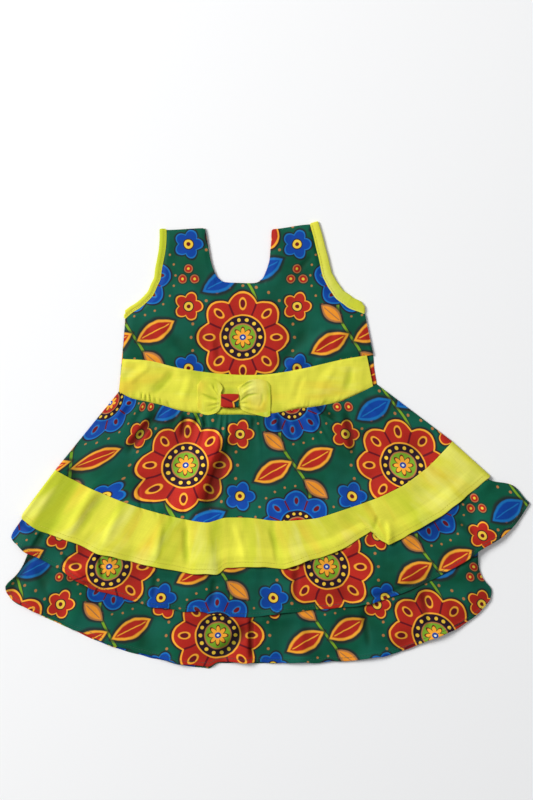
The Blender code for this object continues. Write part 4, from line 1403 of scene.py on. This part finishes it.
BOW_THICK = 0.6
BOW_DYE = (1340.0, 1120.0)  # where the left and the right loop lie on the dyed cloth
KNOT_CUT = (33.5, -14.0)  # where the knot's middle lies on the print: on a red petal
BOW_CREASES = (
    (-1.5, 1.3, 2.2, (-8, 12), (-1, 14.5), (3, 18), (8, 21.4), (15, 22.6), (22, 22.4)),
    (0.9, 3.0, 3.0, (-8, 16), (2, 23), (9, 28), (18, 31)),
    (-0.9, 1.3, 1.5, (-8, 13), (2, 12.2), (10, 12.8)),
    (-0.9, 1.6, 2.0, (-6, 20), (0, 29), (7, 34), (16, 37)),
    (-0.7, 1.8, 2.8, (19, 6), (23, 15), (23, 25)),
    (0.9, 4.0, 4.0, (-4, 10), (10, 8.5), (26, 5)),
    (-0.7, 1.8, 2.4, (-6, 10.5), (5, 7), (15, 3)),
    (-1.5, 2.4, 1.5, (-16, 14), (-24, 15.8), (-31, 18), (-38, 20.8), (-44, 23.5)),
    (-1.0, 1.4, 1.8, (-18, 17), (-25, 22.5), (-29, 28), (-31, 35)),
    (1.0, 3.4, 3.0, (-18, 16), (-27, 25), (-36, 34)),
    (-0.7, 1.8, 2.2, (-18, 12), (-27, 10.5), (-40, 8.5)),
    (-0.6, 1.8, 2.0, (-20, 10), (-28, 6.5), (-35, 2.5)),
    (0.8, 3.0, 3.0, (-18, 13), (-30, 13.5), (-42, 15)),
)


def bow_folds(x, y):
    """How far folds raise the bow's front layer."""
    free = smooth((abs(x - KNOT_MIDDLE[0]) - 10) / 6)
    return (crease_height(BOW_CREASES, x, y) + 0.35 * wavy(x / 9, y / 9, 90)) * free


def bow_layer(at, share, front):
    """x, y and mid-height of the bow's back or front layer, at a section and a share across it."""
    x, low, high, back_z, front_z = through(BOW_SECTIONS, at, 0.8)
    y = mix(low, high, share)
    near_knot = bump(min(abs(x - KNOT_LEFT), abs(x - KNOT_RIGHT)) / 6)
    x -= math.copysign(3.0, x - KNOT_MIDDLE[0]) * near_knot * smooth((y - 22.5) / 7)
    edge = (2 * share - 1) ** 4
    if not front:
        return Vector((x, y, back_z + BOW_OVER_GATHERS * smooth(1 - y / 6) + WALL / 2))
    free = smooth((abs(x - KNOT_MIDDLE[0]) - 10) / 8)
    droop = edge * mix(max(front_z - back_z - 0.65, 0), 0.5, free)
    folds = max(bow_folds(x, y), -0.9)
    return Vector((x, y, front_z + folds + 0.1 * free - droop + WALL / 2))


def bow():
    """One folded band: a back layer, a fold at each end, and a front layer."""
    across, last = 56, len(BOW_SECTIONS) - 1
    shares = [0.5 - 0.5 * math.cos(math.pi * k / across) for k in range(across + 1)]
    shares = [mix(share, k / across, 0.6) for k, share in enumerate(shares)]
    ats = [last * k / 110 for k in range(111)]
    half = BOW_THICK / 2
    sections = []
    for front, run in ((False, ats), (True, ats[::-1])):
        outward = Vector((0, 0, 1 if front else -1))
        for at in run:
            middles = [bow_layer(at, share, front) for share in shares]
            outer_side = [m + outward * half for m in middles]
            inner_side = [m - outward * half for m in middles]
            sections.append(outer_side + inner_side[::-1])
        side, climb = (-1, -1) if front else (1, 1)
        for degrees in (-60, -30, 0, 30, 60):
            angle = math.radians(degrees * climb)
            out = Vector((side * math.cos(angle), 0, math.sin(angle)))
            outer_side, inner_side = [], []
            for share in shares:
                under, over = (bow_layer(run[-1], share, layer) for layer in (False, True))
                radius = (over.z - under.z) / 2
                middle = (under + over) / 2 + out * radius
                outer_side.append(middle + out * half)
                inner_side.append(middle - out * half)
            sections.append(outer_side + inner_side[::-1])

    def lay(section, point):
        at = sections[section % len(sections)][point % len(sections[0])]
        dye = BOW_DYE[at.x > KNOT_MIDDLE[0]]
        # the folds' height also sets their painted shade
        return dye + section * 1.0, point * 1.4, 0.75 * bow_folds(at.x, at.y)

    return closed_tube("bow_cloth", sections, LIME_COTTON, lay)


def bow_knot():
    """A short strip of print wrapped round the bow's pinched middle, with a soft fold or two."""
    low_z, high_z = ON_BAND, IN_KNOT + 2 * PITCH + WALL
    middle_y, middle_z = KNOT_MIDDLE[1], (low_z + high_z) / 2
    half_y, half_z = (KNOT_HIGH - KNOT_LOW) / 2, (high_z - low_z) / 2
    wall, columns = 1.0, 14
    outline = []
    for corner in range(4):
        quarter = math.radians(90 * corner + 45)
        sign_y, sign_z = math.copysign(1, math.cos(quarter)), math.copysign(1, math.sin(quarter))
        centre = Vector((sign_y * (half_y - KNOT_CORNER), sign_z * (half_z - KNOT_CORNER)))
        for step in range(7):
            angle = math.radians(90 * corner + 15 * step)
            outline.append((centre, Vector((math.cos(angle), math.sin(angle)))))
        if corner % 2 == 0:  # the flat top and bottom
            following = Vector((-sign_y * (half_y - KNOT_CORNER), centre.y))
            for share in (0.2, 0.4, 0.6, 0.8):
                outline.append((centre.lerp(following, share), Vector((0, sign_z))))
    sections = []
    for centre, out in outline:
        ring = []
        for inside in (False, True):
            run = range(columns + 1)
            for k in run if not inside else reversed(run):
                share = k / columns
                crown = 0.45 * math.sin(math.pi * share) + 0.25 * wavy(share * 3.0, centre.x / 5, 95)
                pinch = 0.35 * (2 * share - 1) ** 2
                reach = KNOT_CORNER - wall if inside else KNOT_CORNER + (crown - pinch) * (out.y > 0)
                at = centre + out * reach
                ring.append(Vector((mix(KNOT_LEFT, KNOT_RIGHT, share), middle_y + at.x, middle_z + at.y)))
        sections.append(ring)

    rims = [centre + out * KNOT_CORNER for centre, out in outline]
    arcs = [0.0]
    for start, end in zip(rims, rims[1:] + rims[:1]):
        arcs.append(arcs[-1] + (end - start).length)
    over_top = math.pi / 2 * KNOT_CORNER + half_y - KNOT_CORNER

    def lay(section, point):
        across = point if point <= columns else 2 * columns + 1 - point
        along = mix(KNOT_LEFT, KNOT_RIGHT, across / columns) - KNOT_MIDDLE[0]
        return KNOT_CUT[0] + along, KNOT_CUT[1] + over_top - arcs[section], 0.0

    return closed_tube("bow_knot_cloth", sections, WAX_PRINT, lay)


made["bow"] = bow()
made["bow_knot"] = bow_knot()


# ---- Stitches --------------------------------------------------------------------------------------

STITCH_LENGTH, STITCH_PITCH, STITCH_WIDTH, STITCH_HEIGHT = 2.3, 3.1, 0.42, 0.30


def stitch_row(name, line, material):
    """A row of stitches along a line of points on the cloth."""
    bm = bmesh.new()
    spent, target = 0.0, STITCH_PITCH / 2
    for start, end in zip(line, line[1:]):
        run = (end - start).length
        while target <= spent + run:
            share = (target - spent) / run
            along = (end - start).normalized()
            side = Vector((0, 0, 1)).cross(along).normalized()
            up = along.cross(side)
            turn = Matrix((along, side, up)).transposed().to_4x4()
            size = Matrix.Diagonal((STITCH_LENGTH, STITCH_WIDTH, STITCH_HEIGHT, 1))
            place = Matrix.Translation(start.lerp(end, share))
            bmesh.ops.create_cube(bm, size=1, matrix=place @ turn @ size)
            target += STITCH_PITCH
        spent += run
    bmesh.ops.bevel(
        bm, geom=bm.edges[:], affect="EDGES", offset=0.11, segments=1, profile=0.5, material=-1
    )
    return finish(name, bm, material)


def tier_stitch_line(node, levels, stitch_in, under):
    """Points along a hem's row of stitches."""
    place = surfaces[node]
    line = []
    for k in range(4, 397):
        column = k / 400
        length = level_length(column, math.ceil(levels[1]) - 1)
        share = 1 - stitch_in / length / (levels[1] - levels[0])
        x, y, z, thick, *_ = place(column, share)
        line.append(Vector((x, y, z - 0.02 if under else z + thick + 0.05)))
    return line


stitches = {}
for node, levels, *_, hem, cut, back, cloth in TIERS:
    if hem == NO_HEM:
        continue
    thread = YELLOW_THREAD if cloth == LIME_COTTON else GREEN_THREAD
    line = tier_stitch_line(node, levels, hem[1], back)
    stitches[node] = stitch_row(node + "_stitches", line, thread)

for node, cloth, first, side, row, *widths in ARMHOLES:
    edge = binding_line(first, row)
    line = []
    for k in range(3, len(edge) - 1):
        along = edge[k + 1] - edge[k - 1]
        line.append(edge[k] + out_of(along, side) * 0.9 + Vector((0, 0, PITCH + WALL + 0.42)))
    stitches[node] = stitch_row(node + "_stitches", line, YELLOW_THREAD)


# ---- What each piece is ----------------------------------------------------------------------------

# node | slot | flat width, length and area of its cut, in metres | what it lies on
CUTS = (
    ("bodice_front", "wax_print", 0.270, 0.165, 0.030, ["bodice_back"]),
    ("bodice_back", "wax_print", 0.285, 0.210, 0.045, []),
    ("waistband", "plain_yellow", 0.272, 0.055, 0.0128, ["bodice_back"]),
    ("upper_tier_front", "wax_print", 0.500, 0.115, 0.050, ["upper_tier_back", "middle_tier_front"]),
    ("upper_tier_back", "wax_print", 0.500, 0.115, 0.050, []),
    ("hem_band_front", "plain_yellow", 0.520, 0.065, 0.030, ["middle_tier_front"]),
    ("hem_band_back", "plain_yellow", 0.520, 0.065, 0.030, []),
    ("middle_tier_front", "wax_print", 0.600, 0.110, 0.055, ["lower_tier_front"]),
    ("middle_tier_back", "wax_print", 0.600, 0.110, 0.055, ["hem_band_back"]),
    ("lower_tier_front", "wax_print", 0.600, 0.115, 0.060, ["lower_tier_back"]),
    ("lower_tier_back", "wax_print", 0.600, 0.115, 0.060, ["middle_tier_back"]),
    ("left_armhole_binding", "plain_yellow", 0.010, 0.215, 0.0020, ["bodice_front"]),
    ("right_armhole_binding", "plain_yellow", 0.0145, 0.210, 0.0029, ["bodice_front"]),
    ("bow", "plain_yellow", 0.170, 0.040, 0.0062, ["waistband"]),
    ("bow_knot", "wax_print_red", 0.020, 0.045, 0.0008, ["bow"]),
)

for node, slot, width, length, area, rests_on in CUTS:
    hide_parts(node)
    held = "folded" if node in ("bow", "bow_knot") else "laid"
    extra = [stitches[node]] if node in stitches else []


# ---- Floor, light and camera -----------------------------------------------------------------------

FLOOR_REACH = 8.0  # from the floor's middle to its edge, in metres
FLOOR_DROP = 0.0004  # how far below the cloth it lies, so that the two don't share a surface
VIEW_CENTRE = (-0.0012, 0.0485)  # the point of the floor under the middle of the render
VIEW_LENGTH = 0.872  # how much of the floor the render's long side takes in
VIEW_DISTANCE = 1.6


def floor():
    bm = bmesh.new()
    bmesh.ops.create_grid(bm, x_segments=1, y_segments=1, size=FLOOR_REACH)
    bmesh.ops.translate(bm, vec=(0, 0, -FLOOR_DROP), verts=bm.verts)
    mesh = bpy.data.meshes.new("floor")
    bm.to_mesh(mesh)
    bm.free()
    material, _, shader = new_material("pale floor", 0.9, 0.1)
    shader.inputs["Base Color"].default_value = (0.90, 0.90, 0.90, 1)
    mesh.materials.append(material)
    made_floor = add("floor", mesh)


def softbox(name, place, size, power):
    """A square light that faces the dress."""
    data = bpy.data.lights.new(name, "AREA")
    data.shape, data.size, data.energy = "SQUARE", size, power
    lamp = add(name, data)
    lamp.location = place
    lamp.rotation_euler = (-Vector(place)).to_track_quat("-Z", "Y").to_euler()


def light():
    softbox("key light", (-2.9, 1.6, 2.9), 1.9, 205)
    softbox("fill light", (1.6, 0.6, 3.6), 2.6, 18)
    world = bpy.data.worlds.new("studio")
    world.use_nodes = True
    world.node_tree.nodes["Background"].inputs["Color"].default_value = (0.95, 0.97, 1.0, 1)
    world.node_tree.nodes["Background"].inputs["Strength"].default_value = 0.27
    bpy.context.scene.world = world


def camera():
    data = bpy.data.cameras.new("camera")
    data.sensor_width = 36
    data.lens = data.sensor_width * VIEW_DISTANCE / VIEW_LENGTH
    made_camera = add("camera", data)
    made_camera.location = (*VIEW_CENTRE, VIEW_DISTANCE)
    bpy.context.scene.camera = made_camera


floor()
light()
camera()
bpy.context.scene.view_settings.view_transform = "Standard"
